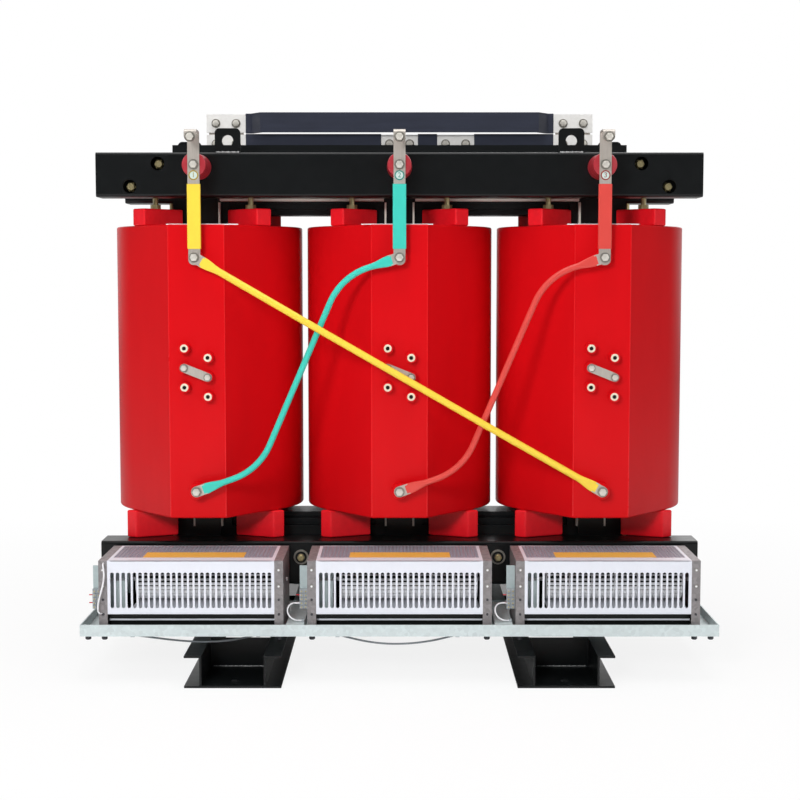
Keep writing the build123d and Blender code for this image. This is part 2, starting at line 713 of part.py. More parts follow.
def link_route(phase):
    """The corner points of a delta link's centre line, from its top to its bottom terminal."""
    top, bottom = (PHASES[name] for name in LINK_ENDS[phase])
    start = Vector(top, LINK_Y, TOP_TERMINAL_Z)
    end = Vector(bottom, LINK_Y, BOTTOM_TERMINAL_Z)
    if phase == "a":
        slope = (end.Z - start.Z) / (end.X - start.X)
        bow_y = LINK_Y - LINK_BOW
        along = (end - start).normalized()
        first = start + along * (LINK_PAD_LENGTH + LINK_NECK_LENGTH + LINK_LEVEL_RUN)
        last = end - along * (LINK_PAD_LENGTH + LINK_NECK_LENGTH + LINK_LEVEL_RUN)
        corners = [first]
        for x in (-LINK_BOW_X, LINK_BOW_X):
            corners.append(Vector(x, bow_y, start.Z + slope * (x - start.X)))
        corners.append(last)
        return start, corners, end
    upper = start + Vector(LINK_TOP_CORNER[0], 0, LINK_TOP_CORNER[1])
    lower = end + Vector(LINK_BOTTOM_CORNER[0], 0, LINK_BOTTOM_CORNER[1])
    return start, [upper, lower], end


def link_end(centre, towards, radius):
    """A flattened, drilled end that narrows to the conductor; returns it and where that starts."""
    along = (towards - centre).normalized()
    root = centre + along * LINK_PAD_LENGTH
    pad_plane = Plane((centre.X, BAR_FRONT, centre.Z), x_dir=along, z_dir=(0, -1, 0))
    half = LINK_PAD_WIDTH / 2
    reach = LINK_PAD_LENGTH + LINK_NECK_LENGTH
    with BuildSketch(pad_plane) as outline:
        with BuildLine():
            Line((0, -half), (LINK_PAD_LENGTH, -half))
            Line((LINK_PAD_LENGTH, -half), (reach, -radius))
            Line((reach, -radius), (reach, radius))
            Line((reach, radius), (LINK_PAD_LENGTH, half))
            Line((LINK_PAD_LENGTH, half), (0, half))
            ThreePointArc((0, half), (-half, 0), (0, -half))
        make_face()
    pad = extrude(outline.sketch, LINK_PAD_THICK)
    return pad - shank_hole(centre.X, LINK_FRONT, BAR_FRONT, centre.Z, TERMINAL_BOLT_R), root


def delta_link(phase):
    """A sleeved conductor from one phase's top terminal to another phase's bottom terminal."""
    start, corners, end = link_route(phase)
    radius = LINK_R[phase]
    top_end, top_root = link_end(start, corners[0], radius)
    bottom_end, bottom_root = link_end(end, corners[-1], radius)
    path = FilletPolyline(top_root, *corners, bottom_root, radius=LINK_BEND_R)
    section = Plane(path @ 0, x_dir=(0, 1, 0), z_dir=path % 0) * RegularPolygon(radius, BOSS_SIDES)
    return top_end.fuse(sweep(section, path=path), bottom_end)


def hv_fasteners():
    """Hexagon bolts on the terminals, insulators, hooks and tap links."""
    bolts = []
    for x in PHASES.values():
        for face, z in ((LINK_FRONT, TOP_TERMINAL_Z), (BAR_FRONT, INSULATOR_Z),
                        (LINK_FRONT, BOTTOM_TERMINAL_Z),
                        (BAR_BACK - HOOK_REACH - BAR_THICK, HOOK_HOLE_Z)):
            length = 2 * BAR_THICK if z == HOOK_HOLE_Z else TERMINAL_BOLT_LENGTH
            bolts.append(hex_bolt(x, face, z, TERMINAL_BOLT_R, TERMINAL_BOLT_FLATS,
                                  TERMINAL_BOLT_HEAD, length))
        for px, pz in linked_taps():
            bolts.append(hex_bolt(x + px, TAP_FACE - TAP_LINK_THICK, pz, TAP_BOLT_R,
                                  TAP_BOLT_FLATS, TAP_BOLT_HEAD, TAP_BOLT_LENGTH))
    return bolts


def lead_centre(phase):
    """Where a coil's neutral lead rises, shifted towards the middle on the outer coils."""
    x = PHASES[phase]
    return x - LV_LEAD_SHIFT * (x > 0) + LV_LEAD_SHIFT * (x < 0)


def bent_strap(x, width, points):
    """A flat strap bent along a line in the YZ plane; the points are its centre line."""
    centre_line = FilletPolyline(*points, radius=LV_LEAD_BEND_R)
    section = Plane((x, 0, 0), x_dir=(0, 1, 0), z_dir=(1, 0, 0)) * trace(centre_line, LV_LEAD_THICK)
    return extrude(section, width / 2, both=True)


def neutral_bolt_places():
    """X, level and whether the upper bar is meant, for each bolt through bar and lead."""
    half = LV_BOLT_PITCH / 2
    places = []
    for phase in PHASES:
        x = lead_centre(phase)
        levels = (LOWER_NEUTRAL_Z,) if phase == "b" else (LOWER_NEUTRAL_Z, UPPER_NEUTRAL_Z)
        places += [(x + way * half, z) for z in levels for way in (-1, 1)]
    outlet = sum(NEUTRAL_OUTLET_X) / 2
    places += [(outlet + way * half, LOWER_NEUTRAL_Z) for way in (-1, 1)]
    return places


def drill_neutral(body):
    """Drills a bar or lead for every bolt that meets it."""
    drills = [
        shank_hole(x, NEUTRAL_Y, LV_LEAD_Y + LV_LEAD_THICK, z, LV_BOLT_R)
        for x, z in neutral_bolt_places()
    ]
    return body.cut(*drills)


def neutral_leads():
    """Straps from the inside of each low-voltage coil, up behind the rear clamp to the bars."""
    y0 = LV_INNER_R + LV_LEAD_THICK
    y1 = LV_LEAD_Y + LV_LEAD_THICK / 2
    z1 = COIL_TOP + NEUTRAL_LEAD_RISE + LV_LEAD_THICK / 2
    leads = []
    for phase in PHASES:
        top = NEUTRAL_TOP_Z
        if phase == "b":
            top = LOWER_NEUTRAL_Z + NEUTRAL_HEIGHT / 2
        points = [(y0, COIL_TOP), (y0, z1), (y1, z1), (y1, top)]
        leads.append(drill_neutral(bent_strap(lead_centre(phase), LV_LEAD_WIDTH, points)))
    return leads


def phase_lead(phase):
    """A phase conductor from a coil's outer turn, with an offset drilled terminal behind the clamp."""
    toward_middle = 1 if phase == "a" else -1
    x = PHASES[phase]
    y0 = LV_OUTER_R - LV_LEAD_THICK
    y1 = PHASE_LEAD_Y + LV_LEAD_THICK / 2
    z1 = COIL_TOP + PHASE_LEAD_RISE
    flag_bottom = z1 + LV_LEAD_BEND_R + LV_LEAD_THICK
    flag_top = flag_bottom + PHASE_FLAG_HEIGHT
    top = UPPER_CLAMP_TOP + PHASE_TERMINAL_TOP_ABOVE_CLAMP
    strap = bent_strap(x, PHASE_LEAD_WIDTH, [(y0, COIL_TOP), (y0, z1), (y1, z1), (y1, flag_top)])
    back = y1 + LV_LEAD_THICK / 2
    near, far = (x + toward_middle * reach for reach in PHASE_FLAG_X)
    flag = block(x, far, back - LV_LEAD_THICK, back, flag_bottom, flag_top)
    upright = block(near, far, back - LV_LEAD_THICK, back, flag_bottom, top)
    lead = strap.fuse(flag, upright)
    middle = (near + far) / 2
    for way in (-1, 1):
        lead -= rod_y(middle + way * PHASE_HOLE_PITCH / 2, back - LV_LEAD_THICK, back,
                      top - PHASE_HOLE_DOWN, PHASE_HOLE_R)
    return lead


def upper_bar_line():
    """The upper neutral bar's centre line, joggled forward between its ends."""
    y = NEUTRAL_Y + NEUTRAL_THICK / 2
    half = NEUTRAL_LENGTH / 2
    xs = (-half, -NEUTRAL_JOGGLE_END, -NEUTRAL_JOGGLE_START,
          NEUTRAL_JOGGLE_START, NEUTRAL_JOGGLE_END, half)
    ys = (y, y, y - NEUTRAL_JOGGLE, y - NEUTRAL_JOGGLE, y, y)
    return list(zip(xs, ys))


def neutral_bar_upper():
    """The upper neutral bar."""
    z0 = UPPER_NEUTRAL_Z - NEUTRAL_HEIGHT / 2
    section = Plane((0, 0, z0)) * trace(Polyline(*upper_bar_line()), NEUTRAL_THICK)
    return drill_neutral(extrude(section, NEUTRAL_HEIGHT))


def neutral_bar_lower():
    """The lower neutral bar, straight from end to end."""
    half = NEUTRAL_LENGTH / 2
    bar = block(-half, half, NEUTRAL_Y, NEUTRAL_Y + NEUTRAL_THICK,
                LOWER_NEUTRAL_Z - NEUTRAL_HEIGHT / 2, LOWER_NEUTRAL_Z + NEUTRAL_HEIGHT / 2)
    return drill_neutral(bar)


def neutral_outlet():
    """The outlet plate of the neutral, bolted behind the lower bar."""
    x0, x1 = NEUTRAL_OUTLET_X
    z1 = LOWER_NEUTRAL_Z + NEUTRAL_HEIGHT / 2
    plate = block(x0, x1, LV_LEAD_Y, LV_LEAD_Y + LV_LEAD_THICK,
                  z1 - NEUTRAL_HEIGHT - NEUTRAL_OUTLET_DROP, z1)
    plate = drill_neutral(plate)
    z = z1 - NEUTRAL_HEIGHT - NEUTRAL_OUTLET_DROP / 2
    for way in (-1, 1):
        plate -= rod_y((x0 + x1) / 2 + way * PHASE_HOLE_PITCH / 2, LV_LEAD_Y,
                       LV_LEAD_Y + LV_LEAD_THICK, z, PHASE_HOLE_R)
    return plate


def sleeve_lower(x0, x1):
    """A stretch of sleeve round the lower neutral bar."""
    section = Plane((x0, NEUTRAL_Y + NEUTRAL_THICK / 2, LOWER_NEUTRAL_Z), x_dir=(0, 1, 0),
                    z_dir=(1, 0, 0))
    wall = 2 * LV_SLEEVE_WALL
    ring = Rectangle(NEUTRAL_THICK + wall, NEUTRAL_HEIGHT + wall) - Rectangle(
        NEUTRAL_THICK, NEUTRAL_HEIGHT)
    return extrude(section * ring, x1 - x0)


def neutral_sleeves():
    """Dark sleeves shrunk over both bars, open where the bars are bolted."""
    outlet_x0, outlet_x1 = NEUTRAL_OUTLET_X
    stretches = ((-NEUTRAL_SLEEVE_END, -NEUTRAL_BARE), (NEUTRAL_BARE, outlet_x0),
                 (outlet_x1, NEUTRAL_SLEEVE_END))
    sleeves = [sleeve_lower(x0, x1) for x0, x1 in stretches]
    z0 = UPPER_NEUTRAL_Z - NEUTRAL_HEIGHT / 2
    line = upper_bar_line()
    line[0] = (-NEUTRAL_SLEEVE_END, line[0][1])
    line[-1] = (NEUTRAL_SLEEVE_END, line[-1][1])
    core = extrude(Plane((0, 0, z0)) * trace(Polyline(*line), NEUTRAL_THICK), NEUTRAL_HEIGHT)
    skin_plane = Plane((0, 0, z0 - LV_SLEEVE_WALL))
    skin = extrude(skin_plane * trace(Polyline(*line), NEUTRAL_THICK + 2 * LV_SLEEVE_WALL),
                   NEUTRAL_HEIGHT + 2 * LV_SLEEVE_WALL)
    sleeves.append(skin - core)
    return sleeves


def neutral_bolts():
    """Bolts through the neutral bars and what is behind them."""
    grip = NEUTRAL_THICK + LV_LEAD_THICK
    bolts = []
    for x, z in neutral_bolt_places():
        bolt = hex_bolt(x, NEUTRAL_Y, z, LV_BOLT_R, LV_BOLT_FLATS, LV_BOLT_HEAD, grip + LV_BOLT_HEAD)
        back = NEUTRAL_Y + grip
        bolt += prism_y(x, back, back + LV_BOLT_HEAD, z, 6, hex_radius(LV_BOLT_FLATS))
        bolts.append(bolt)
    return bolts


def fan_rail_front():
    """The outer fan rail, an angle with its upright leg in front."""
    half = RAIL_LENGTH / 2
    upright = block(-half, half, -RAIL_FACE, -RAIL_FACE + RAIL_WALL, RAIL_BOTTOM, RAIL_TOP)
    leg = block(-half, half, -RAIL_FACE, -RAIL_FACE + RAIL_LEG, RAIL_BOTTOM, FAN_FOOT_Z)
    return drill_rails(upright + leg)


def fan_rail_inner():
    """The inner fan rail, an angle with its upright leg turned down."""
    half = RAIL_LENGTH / 2
    back = -INNER_RAIL_FACE
    leg = block(-half, half, back - INNER_RAIL_LEG, back, RAIL_BOTTOM, FAN_FOOT_Z)
    upright = block(-half, half, back - RAIL_WALL, back, RAIL_BOTTOM - INNER_RAIL_DROP, RAIL_BOTTOM)
    return drill_rails(leg + upright)


def side_arm(way):
    """An end arm, an angle that lies on the rails and runs back under the clamps."""
    outer = way * RAIL_LENGTH / 2
    y0, y1 = -RAIL_FACE + RAIL_WALL, CLAMP_FACE
    upright = block(outer, outer - way * RAIL_WALL, y0, y1, FAN_FOOT_Z, RAIL_TOP)
    leg = block(outer, outer - way * SIDE_ARM_LEG, y0, y1, FAN_FOOT_Z, FAN_FOOT_Z + RAIL_WALL)
    return drill_rails(upright + leg)


def inner_arm(way):
    """An arm between two fans, a channel with its back up."""
    x0 = way * INNER_ARM_X - INNER_ARM_WIDTH / 2
    x1 = x0 + INNER_ARM_WIDTH
    y0, y1 = -RAIL_FACE + RAIL_WALL, CLAMP_FACE
    arm = block(x0, x1, y0, y1, FAN_FOOT_Z, RAIL_TOP)
    return arm - block(x0 + RAIL_WALL, x1 - RAIL_WALL, y0, y1, FAN_FOOT_Z, RAIL_TOP - RAIL_WALL)


def hanger(x0, x1, side, z0):
    """A folded bracket from an arm up to a clamp's underside."""
    y0 = side * CLAMP_Y - HANGER_DEPTH / 2
    y1 = y0 + HANGER_DEPTH
    way = 1 if x1 > x0 else -1
    web = block(x0, x0 + way * HANGER_WALL, y0, y1, z0, LOWER_CLAMP_BOTTOM)
    low = block(x0, x1, y0, y1, z0, z0 + HANGER_WALL)
    high = block(x0, x1, y0, y1, LOWER_CLAMP_BOTTOM - HANGER_WALL, LOWER_CLAMP_BOTTOM)
    return web.fuse(low, high)


def rail_hangers():
    """Eight brackets that hang the arms from the lower clamps."""
    hangers = []
    for side in SIDES:
        for way in (-1, 1):
            inner = way * (RAIL_LENGTH / 2 - SIDE_ARM_LEG)
            hangers.append(hanger(inner, inner + way * SIDE_HANGER_FLANGE, side,
                                  FAN_FOOT_Z + RAIL_WALL))
            near = way * (INNER_ARM_X - INNER_ARM_WIDTH / 2)
            hangers.append(hanger(near, near + way * INNER_ARM_WIDTH, side, RAIL_TOP))
    return hangers


def rail_bolt_places():
    """X, Y and the top of the stack for each bolt up through a rail's leg."""
    fans = [x + way * (FAN_WIDTH - FAN_FLANGE) / 2 for x in PHASES.values() for way in (-1, 1)]
    arms = [way * (RAIL_LENGTH - SIDE_ARM_LEG) / 2 for way in (-1, 1)]
    places = []
    for y in (-RAIL_FACE + RAIL_BOLT_SETBACK, -INNER_RAIL_FACE - INNER_RAIL_LEG / 2):
        places += [(x, y, FAN_FOOT_Z + FAN_WALL) for x in fans]
        places += [(x, y, FAN_FOOT_Z + RAIL_WALL) for x in arms]
    return places


def drill_rails(body):
    """Drills a rail, arm or end plate for every bolt that meets it."""
    hole = extrude(RegularPolygon(RAIL_BOLT_R + BORE_CLEARANCE, SHANK_SIDES), RAIL_HEIGHT)
    return body.cut(*[Pos(x, y, RAIL_BOTTOM) * hole for x, y, _ in rail_bolt_places()])


def rail_bolts():
    """Bolts with their heads under the rails and their nuts on the fans' and arms' flanges."""
    cap = RegularPolygon(hex_radius(RAIL_BOLT_FLATS), 6)
    bolts = []
    for x, y, top in rail_bolt_places():
        head = extrude(cap, -RAIL_BOLT_HEAD)
        body = extrude(RegularPolygon(RAIL_BOLT_R, SHANK_SIDES), top - RAIL_BOTTOM)
        nut = Pos(0, 0, top - RAIL_BOTTOM) * extrude(cap, RAIL_BOLT_HEAD)
        bolts.append(Pos(x, y, RAIL_BOTTOM) * (head + body + nut))
    return bolts


def fan_end_plate(x, way):
    """A galvanised fan end plate with flanges folded inwards in front, above, behind and below."""
    edge = x + way * FAN_WIDTH / 2
    inner = x + way * FAN_COVER_HALF
    plate = block(edge, edge - way * FAN_WALL, -FAN_FRONT, -FAN_BACK, FAN_FOOT_Z, FAN_TOP)
    flanges = [
        block(inner, edge, -FAN_FRONT, -FAN_FRONT + FAN_WALL, FAN_FOOT_Z, FAN_TOP),
        block(inner, edge, -FAN_BACK - FAN_WALL, -FAN_BACK, FAN_FOOT_Z, FAN_TOP),
        block(inner, edge, -FAN_FRONT, -FAN_BACK, FAN_TOP - FAN_WALL, FAN_TOP),
        block(inner, edge, -FAN_FRONT, -FAN_BACK, FAN_FOOT_Z, FAN_FOOT_Z + FAN_WALL),
    ]
    plate = drill_rails(plate.fuse(*flanges))
    if way > 0:
        plate -= rod_x(edge, edge - way * FAN_WALL, -FAN_AXIS_Y, FAN_AXIS_Z,
                       SHAFT_R + BEARING_CLEARANCE)
    return plate


def fan_cover(x):
    """A white folded cover with slots in front for the intake and on top for the outlet."""
    half = FAN_COVER_HALF
    cover = block(x - half, x + half, -FAN_FRONT, -FAN_FRONT + FAN_WALL, FAN_COVER_BOTTOM, FAN_TOP)
    cover += block(x - half, x + half, -FAN_FRONT, -FAN_BACK - FAN_WALL, FAN_TOP - FAN_WALL, FAN_TOP)
    slots = []
    front = Plane((x, -FAN_FRONT, SLOT_BOTTOM + SLOT_HEIGHT / 2), x_dir=(1, 0, 0), z_dir=(0, 1, 0))
    slot = chamfer(Rectangle(SLOT_WIDTH, SLOT_HEIGHT).vertices(), SLOT_CORNER)
    for i in range(SLOT_COUNT):
        place = (i - (SLOT_COUNT - 1) / 2) * SLOT_PITCH
        slots.append(extrude(front * Pos(place, 0) * slot, FAN_WALL))
    top_y = -(FAN_FRONT + FAN_BACK) / 2
    for i in range(OUTLET_SLOT_COUNT):
        for way in (-1, 1):
            place = x + way * ((SLOT_COUNT - 1) / 2 - i) * SLOT_PITCH
            slots.append(block(place - SLOT_WIDTH / 2, place + SLOT_WIDTH / 2,
                               top_y - OUTLET_SLOT_LENGTH / 2, top_y + OUTLET_SLOT_LENGTH / 2,
                               FAN_TOP - FAN_WALL, FAN_TOP))
    return cover.cut(*slots)


def fan_back(x):
    """The folded sheet that closes the fan behind and below and guides its air."""
    half = FAN_COVER_HALF
    front = -FAN_FRONT + FAN_FLOOR_SETBACK
    back = block(x - half, x + half, -FAN_BACK - FAN_WALL, -FAN_BACK, FAN_FLOOR_Z, FAN_TOP)
    half = FAN_INSIDE_HALF
    floor = block(x - half, x + half, front, -FAN_BACK - FAN_WALL, FAN_FLOOR_Z,
                  FAN_FLOOR_Z + FAN_WALL)
    lip = block(x - half, x + half, front, front + FAN_WALL, FAN_FLOOR_Z, FAN_COVER_BOTTOM)
    return back.fuse(floor, lip)


def fan_motor(x):
    """The motor that sits on the left end plate and turns the impeller's shaft."""
    left, right = x - FAN_INSIDE_HALF, x + MOTOR_RIGHT
    body = rod_x(left, right, -FAN_AXIS_Y, FAN_AXIS_Z, MOTOR_R)
    return body - rod_x(right - MOTOR_BORE_DEPTH, right, -FAN_AXIS_Y, FAN_AXIS_Z,
                        SHAFT_R + BEARING_CLEARANCE)


def motor_bracket(x):
    """A folded pale bracket that stands on the fan's floor in front of the motor and carries it."""
    left, right = x - FAN_INSIDE_HALF, x + BRACKET_RIGHT
    floor = FAN_FLOOR_Z + FAN_WALL
    back = -FAN_AXIS_Y - MOTOR_R
    web = block(left, right, BRACKET_Y, BRACKET_Y + BRACKET_WALL, floor, BRACKET_TOP)
    foot_lip = block(left, right, BRACKET_Y, back, floor, floor + BRACKET_WALL)
    shelf = block(left, right, BRACKET_Y, back, BRACKET_TOP - BRACKET_WALL, BRACKET_TOP)
    return web.fuse(foot_lip, shelf)


def fan_impeller(x):
    """A cross-flow impeller: a ring of tilted blades between two discs on one shaft."""
    x0, x1 = x + IMPELLER_LEFT, x + IMPELLER_RIGHT
    discs = [
        rod_x(x0, x0 + DISC_WALL, 0, 0, IMPELLER_R),
        rod_x(x1 - DISC_WALL, x1, 0, 0, IMPELLER_R),
    ]
    shaft = rod_x(x + MOTOR_RIGHT - MOTOR_BORE_DEPTH + SHAFT_END_GAP,
                  x + FAN_WIDTH / 2 + DISC_WALL, 0, 0, SHAFT_R)
    blade_at = IMPELLER_R - BLADE_DEPTH / 2 - BLADE_INSET
    blades = []
    for i in range(IMPELLER_BLADES):
        turn = 360 / IMPELLER_BLADES * i
        blade = Pos((x0 + x1) / 2, blade_at, 0) * Rot(BLADE_TILT, 0, 0) * Box(
            x1 - x0 - DISC_WALL, BLADE_DEPTH, BLADE_WALL)
        blades.append(Rot(turn, 0, 0) * blade)
    wheel = shaft.fuse(*discs, *blades)
    return Pos(0, -FAN_AXIS_Y, FAN_AXIS_Z) * wheel


def fan_terminal_blocks():
    """A cable terminal block outside each fan's left end plate, in front of its carrier plate."""
    width, depth, height = TERMINAL_BLOCK
    return [
        block(x - FAN_WIDTH / 2 - width, x - FAN_WIDTH / 2, TERMINAL_BLOCK_Y - depth,
              TERMINAL_BLOCK_Y, TERMINAL_BLOCK_Z, TERMINAL_BLOCK_Z + height)
        for x in PHASES.values()
    ]


def terminal_carrier(x):
    """The pale plate that stands off a fan's left end plate and carries its terminal block."""
    width, _, height = TERMINAL_BLOCK
    edge = x - FAN_WIDTH / 2
    return block(edge - width, edge, TERMINAL_BLOCK_Y, TERMINAL_BLOCK_Y + BRACKET_WALL,
                 TERMINAL_BLOCK_Z, TERMINAL_BLOCK_Z + height + CARRIER_RISE)


# The fan cables' routes, hanging between clips under the front rail, as X and Z.
CABLE_ROUTES = {
    "left": ((-665, 109), (-625, 103.5), (-582, 98), (-537, 93.5), (-491, 92), (-446, 93.5),
             (-402, 99.5), (-361, 109)),
    "middle": ((-150, 109), (-115, 99.5), (-73, 91), (-28, 86.5), (18, 87), (62, 91.5),
               (103, 99), (140, 109)),
}

# The fans' white leads, as X from the fan's middle, Y and Z. The first fan's lies down the front of
# its left end plate; the others hang in the gap, from the terminal block to a clip on the arm.
END_LEAD = ((-217, -472.3, 297), (-217, -481, 297), (-215, -486, 288), (-213, -486.5, 270),
            (-216, -486, 246), (-223, -485.5, 222), (-229, -485, 199), (-230, -485.5, 180),
            (-226, -481, 170), (-223, -472.3, 170))
GAP_LEAD = ((-251.3, -441, 190), (-262, -441, 191), (-273, -446, 189), (-280, -453, 182),
            (-281, -459, 171), (-275, -462, 160), (-265, -461, 152.5), (-255, -458, 149),
            (-245.8, -456, 149))
LEAD_ROUTES = {"a": END_LEAD, "b": GAP_LEAD, "c": GAP_LEAD}


def bend_radii(points):
    """The largest arc that each corner of a cord's route has room for."""
    radii = []
    for before, here, after in zip(points, points[1:], points[2:]):
        turn = radians((here - before).get_angle(after - here))
        shorter = min((here - before).length, (after - here).length)
        radii.append(0.45 * shorter / tan(turn / 2))
    return radii


def cord(name, points, radius):
    """A plain tube along a cord's route."""
    radii = bend_radii(points)
    print(name, "bend radii", [round(value, 1) for value in radii])
    path = FilletPolyline(*points, radius=radii)
    section = Plane(path @ 0, x_dir=(1, 1, 0), z_dir=path % 0) * RegularPolygon(radius, SHANK_SIDES)
    tube = sweep(section, path=path)
    print("  volume over section times length", round(tube.volume / (section.area * path.length), 5))
    return tube


def fan_cable(name):
    """A grey cable that hangs between two clips."""
    points = [Vector(x, CABLE_Y, z) for x, z in CABLE_ROUTES[name]]
    return cord(f"fan_cable_{name}", points, CABLE_R)


def fan_lead(phase):
    """A fan's white lead."""
    points = [Vector(PHASES[phase] + x, y, z) for x, y, z in LEAD_ROUTES[phase]]
    return cord(f"fan_lead_{phase}", points, LEAD_R)


def cable_clips():
    """Clips that hold the cables' ends under the front rail and the leads' ends on the arms."""
    clips = []
    for route in CABLE_ROUTES.values():
        for (x, z), way in ((route[0], -1), (route[-1], 1)):
            near = x + way * END_GAP
            clips.append(block(near, near + way * CLIP_LENGTH, CABLE_Y - CLIP_LENGTH / 2,
                               CABLE_Y + CLIP_LENGTH / 2, z - CLIP_BELOW_CABLE, RAIL_BOTTOM))
    end_x, end_y, end_z = GAP_LEAD[-1]
    for phase in ("b", "c"):
        near = PHASES[phase] + end_x + END_GAP
        clips.append(block(near, near + LEAD_CLIP_LENGTH, end_y - CLIP_LENGTH / 2,
                           end_y + CLIP_LENGTH / 2, RAIL_TOP, end_z + CLIP_BELOW_CABLE))
    return clips


def build():
    """Every node of the transformer, by name."""
    nodes = {
        "core_yokes": [yoke(UPPER_YOKE_Z), lower_yoke()],
        "pull_plates": pull_plates(),
        "limb_strips": limb_strips(),
        "yoke_pads": yoke_pads(),
        "upper_clamp_front": upper_clamp(FRONT),
        "upper_clamp_rear": upper_clamp(REAR),
        "lower_clamp_front": lower_clamp(FRONT),
        "lower_clamp_rear": lower_clamp(REAR),
        "lifting_lugs": lifting_lugs(),
        "tie_rods": tie_rods(),
        "yoke_bolts": yoke_bolts(),
        "foot_left": foot(-FOOT_GAUGE / 2),
        "foot_right": foot(FOOT_GAUGE / 2),
        "clamp_posts": clamp_posts(),
        "lower_support_blocks": support_blocks(LOWER_BLOCK_PLAN, LOWER_CLAMP_TOP, COIL_BOTTOM),
        "upper_support_blocks": support_blocks(
            UPPER_BLOCK_PLAN, COIL_TOP, COIL_TOP + UPPER_BLOCK_HEIGHT),
        "jack_bolts": jack_bolts(),
        "tap_inserts": tap_inserts(),
        "tap_links": tap_links(),
        "hv_insulators": hv_insulators(),
        "hv_terminal_bars": [terminal_bar(x) for x in PHASES.values()],
        "hv_fasteners": hv_fasteners(),
        "neutral_leads": neutral_leads(),
        "neutral_bars": [neutral_bar_upper(), neutral_bar_lower(), neutral_outlet()],
        "neutral_sleeves": neutral_sleeves(),
        "neutral_bolts": neutral_bolts(),
        "fan_rail_front": fan_rail_front(),
        "fan_rail_inner": fan_rail_inner(),
        "fan_rail_arms": [side_arm(-1), inner_arm(-1), inner_arm(1), side_arm(1)],
        "rail_hangers": rail_hangers(),
        "rail_bolts": rail_bolts(),
        "fan_terminal_blocks": fan_terminal_blocks(),
        "fan_cable_left": fan_cable("left"),
        "fan_cable_middle": fan_cable("middle"),
        "cable_clips": cable_clips(),
    }
    for phase, x in PHASES.items():
        nodes[f"hv_coil_{phase}"] = hv_coil(x)
        nodes[f"hv_sleeve_{phase}"] = bar_sleeve(x)
        nodes[f"delta_link_{phase}"] = delta_link(phase)
        nodes[f"fan_cover_{phase}"] = fan_cover(x)
        nodes[f"fan_impeller_{phase}"] = fan_impeller(x)
        nodes[f"fan_lead_{phase}"] = fan_lead(phase)
    nodes["core_limbs"] = [limb(x) for x in PHASES.values()]
    nodes["lv_coils"] = [lv_coil(x) for x in PHASES.values()]
    nodes["phase_leads"] = [phase_lead(phase) for phase in PHASES]
    nodes["fan_end_plates"] = [fan_end_plate(x, way) for x in PHASES.values() for way in (-1, 1)]
    nodes["fan_backs"] = [fan_back(x) for x in PHASES.values()]
    nodes["fan_motors"] = [fan_motor(x) for x in PHASES.values()]
    nodes["fan_motor_brackets"] = [
        make(x) for x in PHASES.values() for make in (motor_bracket, terminal_carrier)
    ]
    return nodes


os.makedirs("parts", exist_ok=True)
for name, shape in build().items():
    if isinstance(shape, list):
        shape = Compound(children=shape)
    export_step(shape, f"parts/{name}.step")
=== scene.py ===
"""Looks of a three-phase dry-type transformer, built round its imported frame."""

import math

import bmesh
import bpy
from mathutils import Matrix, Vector


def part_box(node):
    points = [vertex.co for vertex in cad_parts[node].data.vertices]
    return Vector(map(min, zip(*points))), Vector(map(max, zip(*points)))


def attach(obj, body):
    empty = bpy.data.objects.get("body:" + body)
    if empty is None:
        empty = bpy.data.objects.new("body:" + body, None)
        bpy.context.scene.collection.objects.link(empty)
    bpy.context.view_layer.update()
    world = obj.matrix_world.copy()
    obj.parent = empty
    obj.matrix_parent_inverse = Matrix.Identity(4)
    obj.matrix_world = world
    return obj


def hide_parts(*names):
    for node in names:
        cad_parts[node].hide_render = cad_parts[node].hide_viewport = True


bl_info = {
    "name": "Dry-type transformer",
    "version": (1, 0, 0),
    "blender": (4, 5, 0),
    "location": "3D View > Sidebar > Transformer",
    "description": "Finishes a dry-type transformer's castings, links, fans and hardware",
    "category": "Object",
}

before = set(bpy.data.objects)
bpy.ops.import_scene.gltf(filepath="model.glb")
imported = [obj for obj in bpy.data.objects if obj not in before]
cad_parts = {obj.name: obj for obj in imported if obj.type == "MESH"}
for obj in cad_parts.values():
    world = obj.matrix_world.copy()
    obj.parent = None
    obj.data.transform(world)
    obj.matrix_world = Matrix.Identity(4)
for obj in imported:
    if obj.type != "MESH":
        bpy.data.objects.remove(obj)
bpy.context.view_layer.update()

MM = 0.001
PHASES = ("a", "b", "c")
FRAME_BODY = "frame"
FINISHES = {}


def linear(code):
    """A linear colour from an sRGB hex code."""
    parts = [int(code[i:i + 2], 16) / 255 for i in (0, 2, 4)]
    return tuple(p / 12.92 if p <= 0.04045 else ((p + 0.055) / 1.055) ** 2.4 for p in parts)


def length(label, description, millimetres):
    """A length property, stored in metres."""
    return bpy.props.FloatProperty(
        name=label, description=description, default=millimetres * MM, min=0.0, unit="LENGTH")


def colour(label, description, code):
    """A colour property."""
    return bpy.props.FloatVectorProperty(
        name=label, description=description, default=linear(code), size=3, min=0.0, max=1.0,
        subtype="COLOR")


